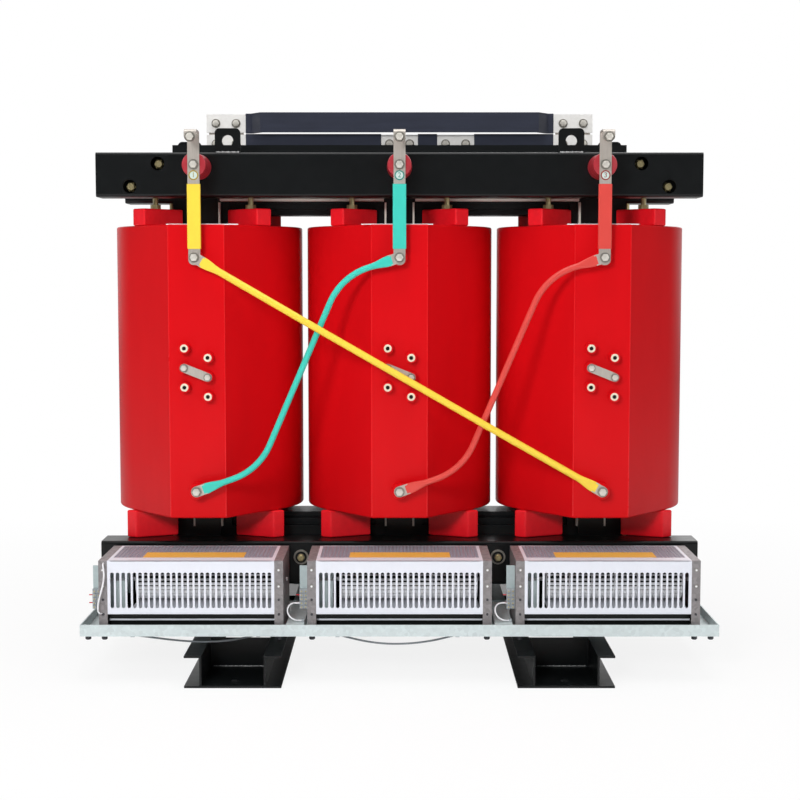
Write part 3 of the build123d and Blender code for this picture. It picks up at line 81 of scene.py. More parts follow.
class TransformerSizes(bpy.types.PropertyGroup):
    """Sizes of the pieces that are finished here."""

    cast_edge: length("Casting edge", "Radius of the rounded edges of the cast coils", 5.0)
    # The pale strip on the coils' top front edges is a painted highlight.
    film_height: length("Highlight strip height", "Height of the pale strip on the coils' top front edges, a painted highlight", 1.4)
    boss_edge: length("Boss edge", "Radius of the rounded edges of the tap bosses", 2.0)
    insert_rim: length("Insert rim", "How far the brass tap inserts stand out of their bosses", 0.8)
    block_edge: length("Block edge", "Radius of the edges of the support blocks", 4.0)
    washer_wall: length("Washer thickness", "Thickness of the plain washers", 2.5)
    mark_radius: length("Mark radius", "Radius of the round phase marks", 12.5)
    slot_width: length("Slot width", "Width of the slots in the fan covers", 9.0)
    slot_height: length("Slot height", "Height of the slots in the fan covers", 90.0)
    sheet_wall: length("Sheet thickness", "Thickness of the fan covers' sheet", 1.5)
    perforation: length("Perforation", "Width across the small holes on top of the fan covers", 7.6)
    blade_chord: length("Blade chord", "Width of the curved impeller blades", 6.5)
    cable_width: length("Cable diameter", "Diameter of the grey fan cables", 5.0)
    lead_width: length("Lead diameter", "Diameter of the white fan leads", 4.0)
    slot_count: bpy.props.IntProperty(
        name="Slots", description="Slots in each fan cover", default=29, min=1)
    blade_count: bpy.props.IntProperty(
        name="Blades", description="Blades on each impeller", default=26, min=3)


class TransformerColours(bpy.types.PropertyGroup):
    """Colours of the main finishes."""

    coil: colour("Coils", "Cast resin of the coils", "D60E16")
    blocks: colour("Blocks", "Moulded support blocks", "F81726")
    steel: colour("Clamps and feet", "Enamel on the clamps, feet and core", "0C0E0F")
    rails: colour("Rails", "Galvanised fan rails", "D9E5E6")
    covers: colour("Fan covers", "Powder coat of the fan covers", "E4E7F0")
    phase_a: colour("Phase A", "Sleeves of the first phase", "FBD946")
    phase_b: colour("Phase B", "Sleeves of the second phase", "3FCDBC")
    phase_c: colour("Phase C", "Sleeves of the third phase", "DE4A42")
    busbar_sleeve: colour("Busbar sleeve", "Sleeves of the neutral bars", "3A3E4D")
    strip: colour("Strip", "Plain strip on the fan covers", "F6BE58")


def add(tree, kind, settings=None, links=None):
    """Adds a node; a setting named with a dot in front is the node's own, the rest are inputs."""
    node = tree.nodes.new(kind)
    for key, value in (settings or {}).items():
        if isinstance(key, str) and key.startswith("."):
            setattr(node, key[1:], value)
        else:
            node.inputs[key].default_value = value
    for key, socket in (links or {}).items():
        tree.links.new(socket, node.inputs[key])
    return node


def shade(code, factor):
    """A linear colour made darker or lighter by a factor."""
    return tuple(min(1.0, part * factor) for part in code)


# How each pattern is drawn: node, its settings for a grain in metres, and the output that is read.
PATTERNS = {
    "mottle": ("ShaderNodeTexNoise", lambda grain: {"Scale": 1 / grain, "Detail": 5.0}, 0),
    "spangle": ("ShaderNodeTexVoronoi", lambda grain: {"Scale": 1 / grain}, 1),
    "layers": ("ShaderNodeTexWave", lambda grain: {
        ".bands_direction": "Y", "Scale": math.pi / 10 / grain, "Distortion": 0.6,
        "Detail Scale": 3.0}, 1),
}


def finish(key, name, base, other, grain, roughness, pattern="mottle", spread=0.08, bump=0.1,
           metallic=0.0, specular=0.5, stretch=(1, 1, 1)):
    """A material whose colour, gloss and height follow one pattern, its grain in millimetres."""
    base, other = (linear(tone) if isinstance(tone, str) else tone for tone in (base, other))
    material = bpy.data.materials.new(name)
    material.use_nodes = True
    tree = material.node_tree
    tree.nodes.clear()
    kind, settings, output = PATTERNS[pattern]
    where = add(tree, "ShaderNodeTexCoord").outputs["Object"]
    placed = add(tree, "ShaderNodeMapping", {"Scale": stretch}, {"Vector": where})
    texture = add(tree, kind, settings(grain * MM), {"Vector": placed.outputs[0]}).outputs[output]
    if pattern == "spangle":
        texture = add(tree, "ShaderNodeRGBToBW", links={"Color": texture}).outputs[0]
    tint = add(tree, "ShaderNodeMix", {".data_type": "RGBA", 6: (*base, 1), 7: (*other, 1)},
               {0: texture})
    gloss = add(tree, "ShaderNodeMapRange",
                {"To Min": roughness - spread, "To Max": roughness + spread}, {"Value": texture})
    height = add(tree, "ShaderNodeBump", {"Strength": bump, "Distance": MM}, {"Height": texture})
    shader = add(tree, "ShaderNodeBsdfPrincipled",
                 {"Metallic": metallic, "Specular IOR Level": specular},
                 {"Base Color": tint.outputs[2], "Roughness": gloss.outputs[0],
                  "Normal": height.outputs[0]})
    add(tree, "ShaderNodeOutputMaterial", links={"Surface": shader.outputs[0]})
    FINISHES[key] = material


def place(axis, u, v, along):
    """A point from its place in the plane across an axis and its place along that axis."""
    return {"X": (along, u, v), "Y": (u, along, v), "Z": (u, v, along)}[axis]


def settle(obj, body=FRAME_BODY, replaces=()):
    """Puts a finished piece on its body and hides what it stands for."""
    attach(obj, body)
    if replaces:
        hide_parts(*replaces)
    return obj


def soften(data, angle=35.0):
    """Smooth shading that keeps edges sharper than an angle."""
    data.shade_smooth()
    data.set_sharp_from_angle(angle=math.radians(angle))


def new_object(name, data, finishes):
    """An object with its finishes, linked into the scene."""
    obj = bpy.data.objects.new(name, data)
    for key in finishes:
        data.materials.append(FINISHES[key])
    bpy.context.scene.collection.objects.link(obj)
    return obj


class Maker:
    """Collects one piece's faces, in millimetres, and makes its object."""

    def __init__(self):
        self.mesh = bmesh.new()
        self.paint = 0

    def points(self, places):
        """New points of the mesh."""
        return [self.mesh.verts.new(Vector(p) * MM) for p in places]

    def face(self, corners):
        """A face with the finish that is in use."""
        self.mesh.faces.new(corners).material_index = self.paint

    def panel(self, places):
        """A face with points of its own."""
        self.face(self.points(places))

    def prism(self, outline, axis, low, high):
        """A closed prism from an outline across an axis."""
        self.skin([self.points([place(axis, u, v, along) for u, v in outline])
                   for along in (low, high)])

    def block(self, low, high):
        """A block between two corners."""
        outline = [(low[0], low[1]), (high[0], low[1]), (high[0], high[1]), (low[0], high[1])]
        self.prism(outline, "Z", low[2], high[2])

    def skin(self, rows, closed=True):
        """Quads between rings of points, with a cap at each end."""
        for a, b in zip(rows, rows[1:]):
            count = len(a)
            for i in range(count):
                j = (i + 1) % count
                self.face((a[i], a[j], b[j], b[i]))
        if closed:
            self.face(rows[0])
            self.face(rows[-1])

    def hoops(self, profile, axis, centre, steps):
        """A round row of points for each radius and place along the axis of a profile."""
        turns = [2 * math.pi * i / steps for i in range(steps)]
        return [self.points([place(axis, centre[0] + radius * math.cos(t),
                                   centre[1] + radius * math.sin(t), along) for t in turns])
                for radius, along in profile]

    def turned(self, profile, axis, centre, steps=40):
        """A turned form; the profile is radius and place along the axis, from end to end."""
        self.skin(self.hoops(profile, axis, centre, steps))

    def ring(self, profile, axis, centre, steps=40):
        """A turned form whose profile is itself a closed loop."""
        rows = self.hoops(profile, axis, centre, steps)
        self.skin(rows + rows[:1], closed=False)

    def done(self, name, finishes, slot, body=FRAME_BODY, replaces=(), bevel=0.0, angle=35.0):
        """The finished object."""
        bmesh.ops.recalc_face_normals(self.mesh, faces=self.mesh.faces)
        data = bpy.data.meshes.new(name)
        self.mesh.to_mesh(data)
        self.mesh.free()
        soften(data, angle)
        obj = new_object(name, data, finishes)
        if bevel:
            edges = obj.modifiers.new("edges", "BEVEL")
            edges.width = bevel * MM
            edges.segments = 3
            edges.harden_normals = True
        return settle(obj, body, replaces) if slot else obj


def plain(obj, angle=35.0):
    """Turns a piece's evaluated result into its own plain mesh."""
    graph = bpy.context.evaluated_depsgraph_get()
    data = bpy.data.meshes.new_from_object(obj.evaluated_get(graph), depsgraph=graph)
    obj.modifiers.clear()
    obj.data = data
    soften(data, angle)
    return obj


def new_tree(name, inputs):
    """An empty geometry tree with named inputs, and its group input node."""
    tree = bpy.data.node_groups.new(name, "GeometryNodeTree")
    tree.interface.new_socket("Geometry", in_out="INPUT", socket_type="NodeSocketGeometry")
    for label, kind in inputs:
        tree.interface.new_socket(label, in_out="INPUT", socket_type="NodeSocket" + kind)
    tree.interface.new_socket("Geometry", in_out="OUTPUT", socket_type="NodeSocketGeometry")
    return tree, add(tree, "NodeGroupInput")


def end_tree(tree, instances, finish_socket=None):
    """Realizes the instances, sets one finish if there is only one, and ends the tree."""
    real = add(tree, "GeometryNodeRealizeInstances", links={"Geometry": instances})
    last = add(tree, "GeometryNodeMergeByDistance", {"Distance": 0.02 * MM},
               {"Geometry": real.outputs[0]})
    if finish_socket:
        last = add(tree, "GeometryNodeSetMaterial",
                   links={"Geometry": last.outputs[0], "Material": finish_socket})
    add(tree, "NodeGroupOutput", links={"Geometry": last.outputs[0]})


def run_tree(obj, tree, values):
    """Runs a tree on an object with values for its named inputs, and keeps the plain result."""
    modifier = obj.modifiers.new(tree.name, "NODES")
    modifier.node_group = tree
    for item in tree.interface.items_tree:
        if item.in_out == "INPUT" and item.name in values:
            modifier[item.identifier] = values[item.name]
    return plain(obj)


def copies_tree(name, turning):
    """Copies of a shape in a row, or turned about a pivot when turning."""
    tree, start = new_tree(name, [("Count", "Int"), ("Step", "Vector"), ("Pivot", "Vector"),
                                  ("Finish", "Material")])
    one = add(tree, "GeometryNodeGeometryToInstance", links={"Geometry": start.outputs["Geometry"]})
    many = add(tree, "GeometryNodeDuplicateElements", {".domain": "INSTANCE"},
               {"Geometry": one.outputs[0], "Amount": start.outputs["Count"]})
    steps = add(tree, "ShaderNodeVectorMath", {".operation": "SCALE"},
                {"Vector": start.outputs["Step"], "Scale": many.outputs["Duplicate Index"]})
    if turning:
        moved = add(tree, "GeometryNodeRotateInstances", {"Local Space": False},
                    {"Instances": many.outputs[0], "Rotation": steps.outputs[0],
                     "Pivot Point": start.outputs["Pivot"]})
    else:
        moved = add(tree, "GeometryNodeTranslateInstances", {"Local Space": False},
                    {"Instances": many.outputs[0], "Translation": steps.outputs[0]})
    end_tree(tree, moved.outputs[0], start.outputs["Finish"])
    return tree


def bolt_tree():
    """Hexagon heads on plain washers, one on each point, facing the way the point's arrow says."""
    sizes = ("Corner Radius", "Head Height", "Washer Radius", "Washer Thickness")
    finishes = ("Head Finish", "Washer Finish")
    tree, start = new_tree("Hexagon bolts", [(s, "Float") for s in sizes]
                           + [(f, "Material") for f in finishes])
    corner, head, washer, wall = (start.outputs[s] for s in sizes)

    def sized(socket, factor, offset=None):
        """A size times a factor, with another size added."""
        node = add(tree, "ShaderNodeMath", {".operation": "MULTIPLY_ADD", 1: factor, 2: 0.0},
                   {0: socket})
        if offset:
            tree.links.new(offset, node.inputs[2])
        return node.outputs[0]

    # Sides, lower and upper radius, depth, where the layer starts and its finish.
    layers = (
        (28, washer, sized(washer, 0.97), wall, None, finishes[1]),
        (20, sized(corner, 0.98), sized(corner, 0.98), sized(head, 0.22), wall, finishes[1]),
        (6, corner, corner, sized(head, 0.66), sized(head, 0.22, wall), finishes[0]),
        (24, sized(corner, 0.88), sized(corner, 0.7), sized(head, 0.12), sized(head, 0.88, wall),
         finishes[0]),
    )
    parts = []
    for sides, lower, upper, depth, level, skin in layers:
        cone = add(tree, "GeometryNodeMeshCone", {"Vertices": sides},
                   {"Radius Bottom": lower, "Radius Top": upper, "Depth": depth})
        lift = add(tree, "ShaderNodeCombineXYZ", links={"Z": level} if level else None)
        moved = add(tree, "GeometryNodeTransform",
                    links={"Geometry": cone.outputs[0], "Translation": lift.outputs[0]})
        parts.append(add(tree, "GeometryNodeSetMaterial",
                         links={"Geometry": moved.outputs[0], "Material": start.outputs[skin]}))
    joined = add(tree, "GeometryNodeJoinGeometry")
    for part in parts:
        tree.links.new(part.outputs[0], joined.inputs[0])
    arrow = add(tree, "GeometryNodeInputNamedAttribute",
                {".data_type": "FLOAT_VECTOR", "Name": "facing"})
    turn = add(tree, "FunctionNodeAlignRotationToVector", links={"Vector": arrow.outputs[0]})
    placed = add(tree, "GeometryNodeInstanceOnPoints",
                 links={"Points": start.outputs["Geometry"], "Instance": joined.outputs[0],
                        "Rotation": turn.outputs[0]})
    end_tree(tree, placed.outputs[0])
    return tree


def bolts(name, places, size, finishes=("zinc", "washers"), replaces=()):
    """Bolt heads or nuts, from seats in millimetres and the directions they face."""
    flats, head, washer = size
    data = bpy.data.meshes.new(name)
    data.from_pydata([Vector(seat) * MM for seat, _ in places], [], [])
    arrows = data.attributes.new("facing", "FLOAT_VECTOR", "POINT")
    for i, (_, way) in enumerate(places):
        arrows.data[i].vector = way
    obj = new_object(name, data, ())
    tree = bpy.data.node_groups.get("Hexagon bolts") or bolt_tree()
    run_tree(obj, tree, {
        "Corner Radius": flats / math.sqrt(3) * MM, "Head Height": head * MM,
        "Washer Radius": washer * MM,
        "Washer Thickness": bpy.context.scene.transformer_sizes.washer_wall,
        "Head Finish": FINISHES[finishes[0]], "Washer Finish": FINISHES[finishes[1]]})
    return settle(obj, replaces=replaces)


def middle(node):
    """The middle of a node's box, in millimetres."""
    low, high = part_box(node)
    return (low + high) / 2 / MM


def rounded_path(corners, radius, steps=14):
    """Points along straight runs joined by arcs."""
    points = [Vector(corners[0])]
    for before, here, after in zip(corners, corners[1:], corners[2:]):
        here = Vector(here)
        back = (Vector(before) - here).normalized()
        on = (Vector(after) - here).normalized()
        half = back.angle(on) / 2
        reach = radius / math.tan(half)
        hub = here + (back + on).normalized() * radius / math.sin(half)
        first, last = here + back * reach - hub, here + on * reach - hub
        turn = first.angle(last)
        for i in range(steps + 1):
            share = i / steps
            points.append(hub + (first * math.sin((1 - share) * turn)
                                 + last * math.sin(share * turn)) / math.sin(turn))
    points.append(Vector(corners[-1]))
    return points


# Layout of the high-voltage side, in millimetres, as the frame has it.
COIL_RADIUS = 252.5
COIL_BORE = 195.0
PANEL_FACE = 308.0
PANEL_HALF = 71.5
SEAM_RADIUS = 1.3
SEAM_SINK = 0.4
# A pale strip along each coil's top front edge, a painted highlight: half its length, depth, sink
# and shift.
HIGHLIGHT_STRIP_HALF = 92.0
HIGHLIGHT_STRIP_DEPTH = 7.0
HIGHLIGHT_STRIP_SINK = 1.0
HIGHLIGHT_STRIP_SHIFTS = {"a": 16.0, "b": -6.0, "c": 0.0}
TOP_TERMINAL_RISE = 672.0
BOTTOM_TERMINAL_RISE = 74.0
BOSS_RADIUS = 20.0
# Points of a boss's rounded edge, as shares of its radius inwards and back.
BOSS_ROUND = ((0.0, 1.0), (0.4, 0.25), (1.0, 0.0))
TOP_BOSS_FACE = -336.0
BAR_FACE = -341.0
LINK_FACE = -346.0
LINK_LEVEL = -343.5
TAP_FACE = -331.0
TAP_BOSS = 14.5
TAP_PLACES = ((-30, 441), (-30, 391), (-30, 341), (30, 417), (30, 367), (30, 317))
LINKED_TAPS = (TAP_PLACES[1], TAP_PLACES[4])
TAP_LINK_FACE = -335.0
# Radius and distance behind the face, of a tap insert and of the black disc deep in its bore, which
# is painted shade.
INSERT_PROFILE = ((4.2, 9), (4.6, 0.8), (5.4, 0), (9.6, 0), (10.3, 0.8), (10.3, 6))
BORE_SHADE_PROFILE = ((4.9, 1.2), (4.9, -0.05))
HOOK_FACE = -403.0
HOOK_BOLT_Z = 1354.0
INSULATOR_Z = 1290.0
MARK_Z = 1263.0
CLAMP_FACE = 232.0
BUSBAR_HEIGHT = 52.0
BUSBAR_GAP = 6.0


def coil_reach(angle):
    """How far the coil's outline is from its axis, at an angle from the front."""
    corner = math.atan2(PANEL_HALF, PANEL_FACE)
    tangent = corner + math.acos(COIL_RADIUS / math.hypot(PANEL_HALF, PANEL_FACE))
    angle = abs(angle)
    if angle <= corner:
        return PANEL_FACE / math.cos(angle)
    if angle <= tangent:
        return COIL_RADIUS / math.cos(tangent - angle)
    return COIL_RADIUS


def coil_angles():
    """Angles round the coil, with one on each corner of its outline."""
    corner = math.atan2(PANEL_HALF, PANEL_FACE)
    tangent = corner + math.acos(COIL_RADIUS / math.hypot(PANEL_HALF, PANEL_FACE))
    flat = [corner * i / 4 for i in range(-4, 5)]
    slope = [corner + (tangent - corner) * i / 4 for i in range(1, 5)]
    rest = [tangent + (math.pi - tangent) * i / 48 for i in range(1, 49)]
    right = slope + rest
    return flat + right + [-angle for angle in reversed(right[:-1])]


def rounded(radius, steps=4):
    """Inset and drop of the points of a rounded edge."""
    turns = [math.pi / 2 * i / steps for i in range(steps + 1)]
    return [(radius * (1 - math.cos(t)), radius * (1 - math.sin(t))) for t in turns]


class TRANSFORMER_OT_finishes(bpy.types.Operator):
    """Makes every finish and puts the plain ones on the frame's own pieces"""

    bl_idname = "transformer.finishes"
    bl_label = "Finishes"

    def execute(self, context):
        tone = context.scene.transformer_colours
        base = {key: tuple(getattr(tone, key)) for key in tone.__annotations__}
        # Epoxy resin cast in a polished mould: semi-gloss with long faint flow marks.
        finish("coil", "Cast epoxy resin, red", base["coil"], shade(base["coil"], 0.9), 55, 0.34,
               bump=0.03, specular=0.12, stretch=(1, 1, 0.25))
        # The mould's parting line: the same resin, a little paler and glossier, a painted highlight
        # along the panel's edges.
        finish("coil_seam", "Cast epoxy resin, rubbed mould seam", shade(base["coil"], 1.3),
               base["coil"], 40, 0.3, bump=0.03)
        # Moulding compound: harder gloss and a slightly cloudy skin.
        finish("blocks", "Polyester moulding compound, red", base["blocks"],
               shade(base["blocks"], 0.82), 14, 0.42, bump=0.08)
        # Brushed enamel over fabricated steel: satin with shallow ripples.
        finish("enamel", "Enamel on fabricated steel, black", base["steel"],
               shade(base["steel"], 1.5), 22, 0.32, spread=0.05, bump=0.06, specular=0.3)
        # Stacked silicon steel under varnish: its 0.3 mm sheets are drawn 3 mm thick to show.
        finish("laminations", "Varnished core laminations", shade(base["steel"], 0.8),
               shade(base["steel"], 2.2), 3, 0.4, pattern="layers", bump=0.25, specular=0.3)
        # Zinc plate gone dull on small hardware: grey with hardly a gleam.
        finish("dull", "Zinc plate, dull", "55555A", "3C3C40", 4, 0.5, bump=0.05, metallic=0.5)
        # Hot-dip zinc: pale blue-grey with faint crystals.
        finish("galvanised", "Hot-dip galvanised steel", base["rails"], shade(base["rails"], 0.86),
               9, 0.48, pattern="spangle", bump=0.02, metallic=0.25)
        # Galvanised sheet, older and greyer than the rails.
        finish("sheet", "Galvanised sheet steel", "938F90", "7D797A", 8, 0.5, pattern="spangle",
               bump=0.03, metallic=0.15)
        # Powder coat: even, with a fine orange-peel skin.
        finish("covers", "Powder-coated sheet steel, white", base["covers"],
               shade(base["covers"], 0.95), 2.5, 0.45, bump=0.08)
        # The same coat round fine holes, greyed with painted shade for the dark inside them: they
        # are drawn 7.6 mm wide to show.
        finish("perforated", "Powder-coated perforated steel", "A09BA6", "908B96", 2.5, 0.5,
               bump=0.08)
        # Chromated zinc plate: straw-coloured bright metal.
        finish("zinc", "Yellow-chromated zinc plate", "D2C596", "A89A6E", 5, 0.34, bump=0.04,
               metallic=0.7)
        # Plain zinc plate, handled: a neutral grey sheen.
        finish("washers", "Bright zinc plate", "A9A59C", "8B8880", 6, 0.38, bump=0.04, metallic=0.6)
        # Tinned copper: warm grey, brushed along its length.
        finish("tin", "Tinned copper bar", "D3CCC4", "B9B1A8", 3, 0.4, bump=0.05, metallic=0.45,
               stretch=(1, 1, 0.08))
        # The same tin on flat plates: matt and nearly white, lighter than on the bars, partly
        # painted light that makes up for the shade the plates sit in.
        finish("plate", "Tinned copper plate, matt", "F8F7F5", "E8E6E2", 9, 0.5, bump=0.04)
        # Brass turned, then tinned: pale gold with a bright edge.
        finish("brass", "Turned brass, tinned", "FBF3DF", "E6DBBE", 2, 0.3, bump=0.03, metallic=0.2)
        # Clean zinc plate on screws: nearly white, so a head stands out on its washer.
        finish("bright", "Bright zinc plate, clean", "E9E5DD", "C9C4BA", 4, 0.32, bump=0.04,
               metallic=0.35)
        # Cast resin, aged darker than the coils: soft gloss.
        finish("insulator", "Cast resin insulator, dark red", "B4303A", "9C2530", 12, 0.4,
               bump=0.05)
        for phase in PHASES:
            tint = base["phase_" + phase]
            # Heat-shrink tube: smooth, softly glossy, a little uneven.
            finish("sleeve_" + phase, "Polyolefin sleeve, phase " + phase, tint, shade(tint, 0.9),
                   16, 0.4, bump=0.1, stretch=(1, 1, 0.4))
            # Ink printed on vinyl: the phase's colour, darker.
            finish("ink_" + phase, "Printed ink, phase " + phase, shade(tint, 0.42),
                   shade(tint, 0.36), 8, 0.5, bump=0.02)
        # Heat-shrink on flat bars: blue-black, with long wrinkles across it.
        finish("busbar_sleeve", "Polyolefin sleeve, black", base["busbar_sleeve"],
               shade(base["busbar_sleeve"], 0.62), 34, 0.36, bump=0.5, stretch=(0.35, 1, 2.2))
        # Pressboard, sawn from sheet: off-white and quite matt.
        finish("board", "Laminated pressboard", "F1EEE6", "E0DBCD", 6, 0.6, bump=0.06)
        # Foil turns sealed at their ends: brown, cloudy resin.
        finish("winding", "Foil winding sealed in resin", "7B6242", "59452C", 4, 0.5, bump=0.1)
        # Sprayed enamel on small steel parts: pale grey-green satin.
        finish("motor", "Enamelled motor steel, grey-green", "BDCBCC", "A9B8BA", 10, 0.45,
               bump=0.06, metallic=0.1)
        # Aluminium strip as rolled, on blades too thin to mirror: white, hardly glossy.
        finish("blades", "Mill-finish aluminium", "FAFBFD", "EDEFF3", 6, 0.42, bump=0.03)
        # Extruded PVC: even colour with a faint sheen.
        finish("grey_cable", "PVC cable jacket, grey", "8B9094", "7A7F84", 4, 0.45, bump=0.05)
        finish("white_lead", "PVC lead, white", "F3F3F5", "E4E4E8", 4, 0.4, bump=0.04)
        finish("red_lead", "PVC lead, red", "D21F2C", "B81824", 4, 0.4, bump=0.04)
        # Moulded nylon: pale grey, waxy.
        finish("nylon", "Moulded nylon, pale grey", "B0B6BA", "9EA5A9", 5, 0.5, bump=0.05)
        # Printed vinyl: flat even colour under a thin gloss.
        finish("strip", "Printed vinyl strip, orange", base["strip"], shade(base["strip"], 0.92),
               30, 0.45, bump=0.02)
        # Arc weld under black enamel, painted pale as a highlight on its ripples: bright crests,
        # dark valleys.
        finish("weld", "Weld bead with worn enamel", "E2E3E4", "2A2C2D", 7, 0.45, bump=0.5)
        # Dull black for painted shade: in the tap bores, inside the impellers and under the fan
        # covers.
        finish("rubber", "Rubber strip, black", "141716", "0D0F0F", 6, 0.7, bump=0.1, specular=0.2)
        # Printed vinyl again, in a pale green-white.
        finish("paper", "Printed vinyl, white", "CFE0DA", "C2D4CE", 8, 0.5, bump=0.02)
        plain_nodes = {
            "laminations": ("core_yokes", "core_limbs"),
            "enamel": ("pull_plates", "upper_clamp_front", "upper_clamp_rear", "lower_clamp_front",
                       "lower_clamp_rear", "lifting_lugs", "foot_left", "foot_right", "clamp_posts",
                       "fan_backs"),
            "board": ("limb_strips", "yoke_pads"),
            "zinc": ("tie_rods", "jack_bolts"),
            "winding": ("lv_coils",),
            "tin": ("tap_links", "hv_terminal_bars", "neutral_leads", "phase_leads"),
            "plate": ("neutral_bars",),
            "busbar_sleeve": ("neutral_sleeves",),
            "sleeve_a": ("hv_sleeve_a",),
            "sleeve_b": ("hv_sleeve_b",),
            "sleeve_c": ("hv_sleeve_c",),
            "galvanised": ("fan_rail_front", "fan_rail_inner", "fan_rail_arms", "rail_hangers"),
            "sheet": ("fan_end_plates",),
            "motor": ("fan_motors", "fan_motor_brackets"),
            "nylon": ("cable_clips",),
        }
        for key, nodes in plain_nodes.items():
            for node in nodes:
                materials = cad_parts[node].data.materials
                materials.clear()
                materials.append(FINISHES[key])
        return {"FINISHED"}


class TRANSFORMER_OT_coils(bpy.types.Operator):
    """Casts the three high-voltage coils with rounded edges, bosses and a pale strip on the top
    front edge, a painted highlight
    """

    bl_idname = "transformer.coils"
    bl_label = "Cast coils"

    def execute(self, context):
        sizes = context.scene.transformer_sizes
        edge, boss_edge = sizes.cast_edge / MM, sizes.boss_edge / MM
        angles = coil_angles()
        for phase in PHASES:
            node = "hv_coil_" + phase
            x = middle(node).x
            z0, z1 = (corner.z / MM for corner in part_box(node))
            maker = Maker()
            arc = rounded(edge)
            rows = [(inset, z0 + drop) for inset, drop in reversed(arc)]
            rows += [(inset, z1 - drop) for inset, drop in arc]
            reaches = [(a, coil_reach(a)) for a in angles]
            rows = [[(x + (reach - inset) * math.sin(a), -(reach - inset) * math.cos(a), z)
                     for a, reach in reaches] for inset, z in rows]
            for z in (z1, z1 - edge, z0 + edge, z0):
                bore = COIL_BORE + (0 if z not in (z0, z1) else edge / 2)
                rows.append([(x + bore * math.sin(a), -bore * math.cos(a), z) for a in angles])
            rings = [maker.points(row) for row in rows]
            maker.skin(rings + rings[:1], closed=False)
            inside = -PANEL_FACE + 2 * edge
            bosses = [(0, TOP_TERMINAL_RISE, BOSS_RADIUS, TOP_BOSS_FACE),
                      (0, BOTTOM_TERMINAL_RISE, BOSS_RADIUS, BAR_FACE)]
            bosses += [(px, rise, TAP_BOSS, TAP_FACE) for px, rise in TAP_PLACES]
            for px, rise, radius, face in bosses:
                profile = [(radius, inside)]
                profile += [(radius - boss_edge * inwards, face + boss_edge * back)
                            for inwards, back in BOSS_ROUND]
                maker.turned(profile, "Y", (x + px, z0 + rise), steps=32)
            # The mould seams at the panel's edges take the paler finish, a painted highlight.
            maker.paint = 1
            for way in (-1, 1):
                maker.turned([(SEAM_RADIUS, z0 + edge), (SEAM_RADIUS, z1 - edge)], "Z",
                             (x + way * PANEL_HALF, -PANEL_FACE + SEAM_SINK), steps=10)
            maker.done("cast_coil_" + phase, ("coil", "coil_seam"), "coil_red", replaces=(node,))
            # A pale strip along the top front edge: a painted highlight, in the white lead's
            # finish.
            highlight_strip = Maker()
            highlight_x = x + HIGHLIGHT_STRIP_SHIFTS[phase]
            highlight_y = -PANEL_FACE + edge - HIGHLIGHT_STRIP_SINK
            highlight_strip.block((highlight_x - HIGHLIGHT_STRIP_HALF, highlight_y, z1 - HIGHLIGHT_STRIP_SINK),
                       (highlight_x + HIGHLIGHT_STRIP_HALF, highlight_y + HIGHLIGHT_STRIP_DEPTH, z1 + sizes.film_height / MM))
            highlight_strip.done("edge_film_" + phase, ("white_lead",), "insulation_board", bevel=0.4)
        return {"FINISHED"}


class TRANSFORMER_OT_taps(bpy.types.Operator):
    """Sets the brass tap inserts into their bosses"""

    bl_idname = "transformer.taps"
    bl_label = "Tap inserts"

    def execute(self, context):
        face = TAP_FACE - context.scene.transformer_sizes.insert_rim / MM
        maker = Maker()
        for phase in PHASES:
            x = middle("hv_coil_" + phase).x
            z0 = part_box("hv_coil_" + phase)[0].z / MM
            for px, rise in TAP_PLACES:
                if (px, rise) in LINKED_TAPS:
                    continue
                # The second profile is a black disc deep in the bore: painted shade.
                for paint, profile, steps in ((0, INSERT_PROFILE, 28), (1, BORE_SHADE_PROFILE, 20)):
                    maker.paint = paint
                    maker.turned([(radius, face + behind) for radius, behind in profile], "Y",
                                 (x + px, z0 + rise), steps)
        maker.done("brass_inserts", ("brass", "rubber"), "brass", replaces=("tap_inserts",))
        return {"FINISHED"}


# The delta links' routes: which coils they join and their corners, in millimetres.
LINK_ENDS = {"a": ("a", "c"), "b": ("b", "a"), "c": ("c", "b")}
LINK_RADIUS = {"a": 9.0, "b": 8.0, "c": 8.0}
LINK_BEND = 160.0
LINK_BOW = 19.0
LINK_BOW_X = 250.0
LINK_PAD = 22.0
LINK_NECK = 26.0
LINK_LEVEL_RUN = 45.0
LINK_STEP = 4.0
LINK_SECTION = 24
FLAT_END = 24.0
SWELL = 52.0
PAD_HALF = 14.0
PAD_THICK = 2.6
BARE_STEPS = 5
EYE_REACH = 26.0
EYE_TAPER = 0.6
EYE_THICK = 2.5
SLEEVE_SLOTS = {"a": "yellow_sleeve", "b": "green_sleeve", "c": "red_sleeve"}
LINK_TOP_CORNER = (-148.0, -48.0)
LINK_BOTTOM_CORNER = (161.0, 57.0)


def link_corners(phase):
    """The corners of a delta link's centre line, between its two terminals."""
    top, bottom = ("hv_coil_" + end for end in LINK_ENDS[phase])
    z0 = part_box(top)[0].z / MM
    start = Vector((middle(top).x, LINK_LEVEL, z0 + TOP_TERMINAL_RISE))
    end = Vector((middle(bottom).x, LINK_LEVEL, z0 + BOTTOM_TERMINAL_RISE))
    if phase != "a":
        upper = start + Vector((LINK_TOP_CORNER[0], 0, LINK_TOP_CORNER[1]))
        lower = end + Vector((LINK_BOTTOM_CORNER[0], 0, LINK_BOTTOM_CORNER[1]))
        return [start, upper, lower, end]
    along = (end - start).normalized() * (LINK_PAD + LINK_NECK + LINK_LEVEL_RUN)
    bow = [start.lerp(end, (x - start.x) / (end.x - start.x)) - Vector((0, LINK_BOW, 0))
           for x in (-LINK_BOW_X, LINK_BOW_X)]
    return [start, start + along, *bow, end - along, end]


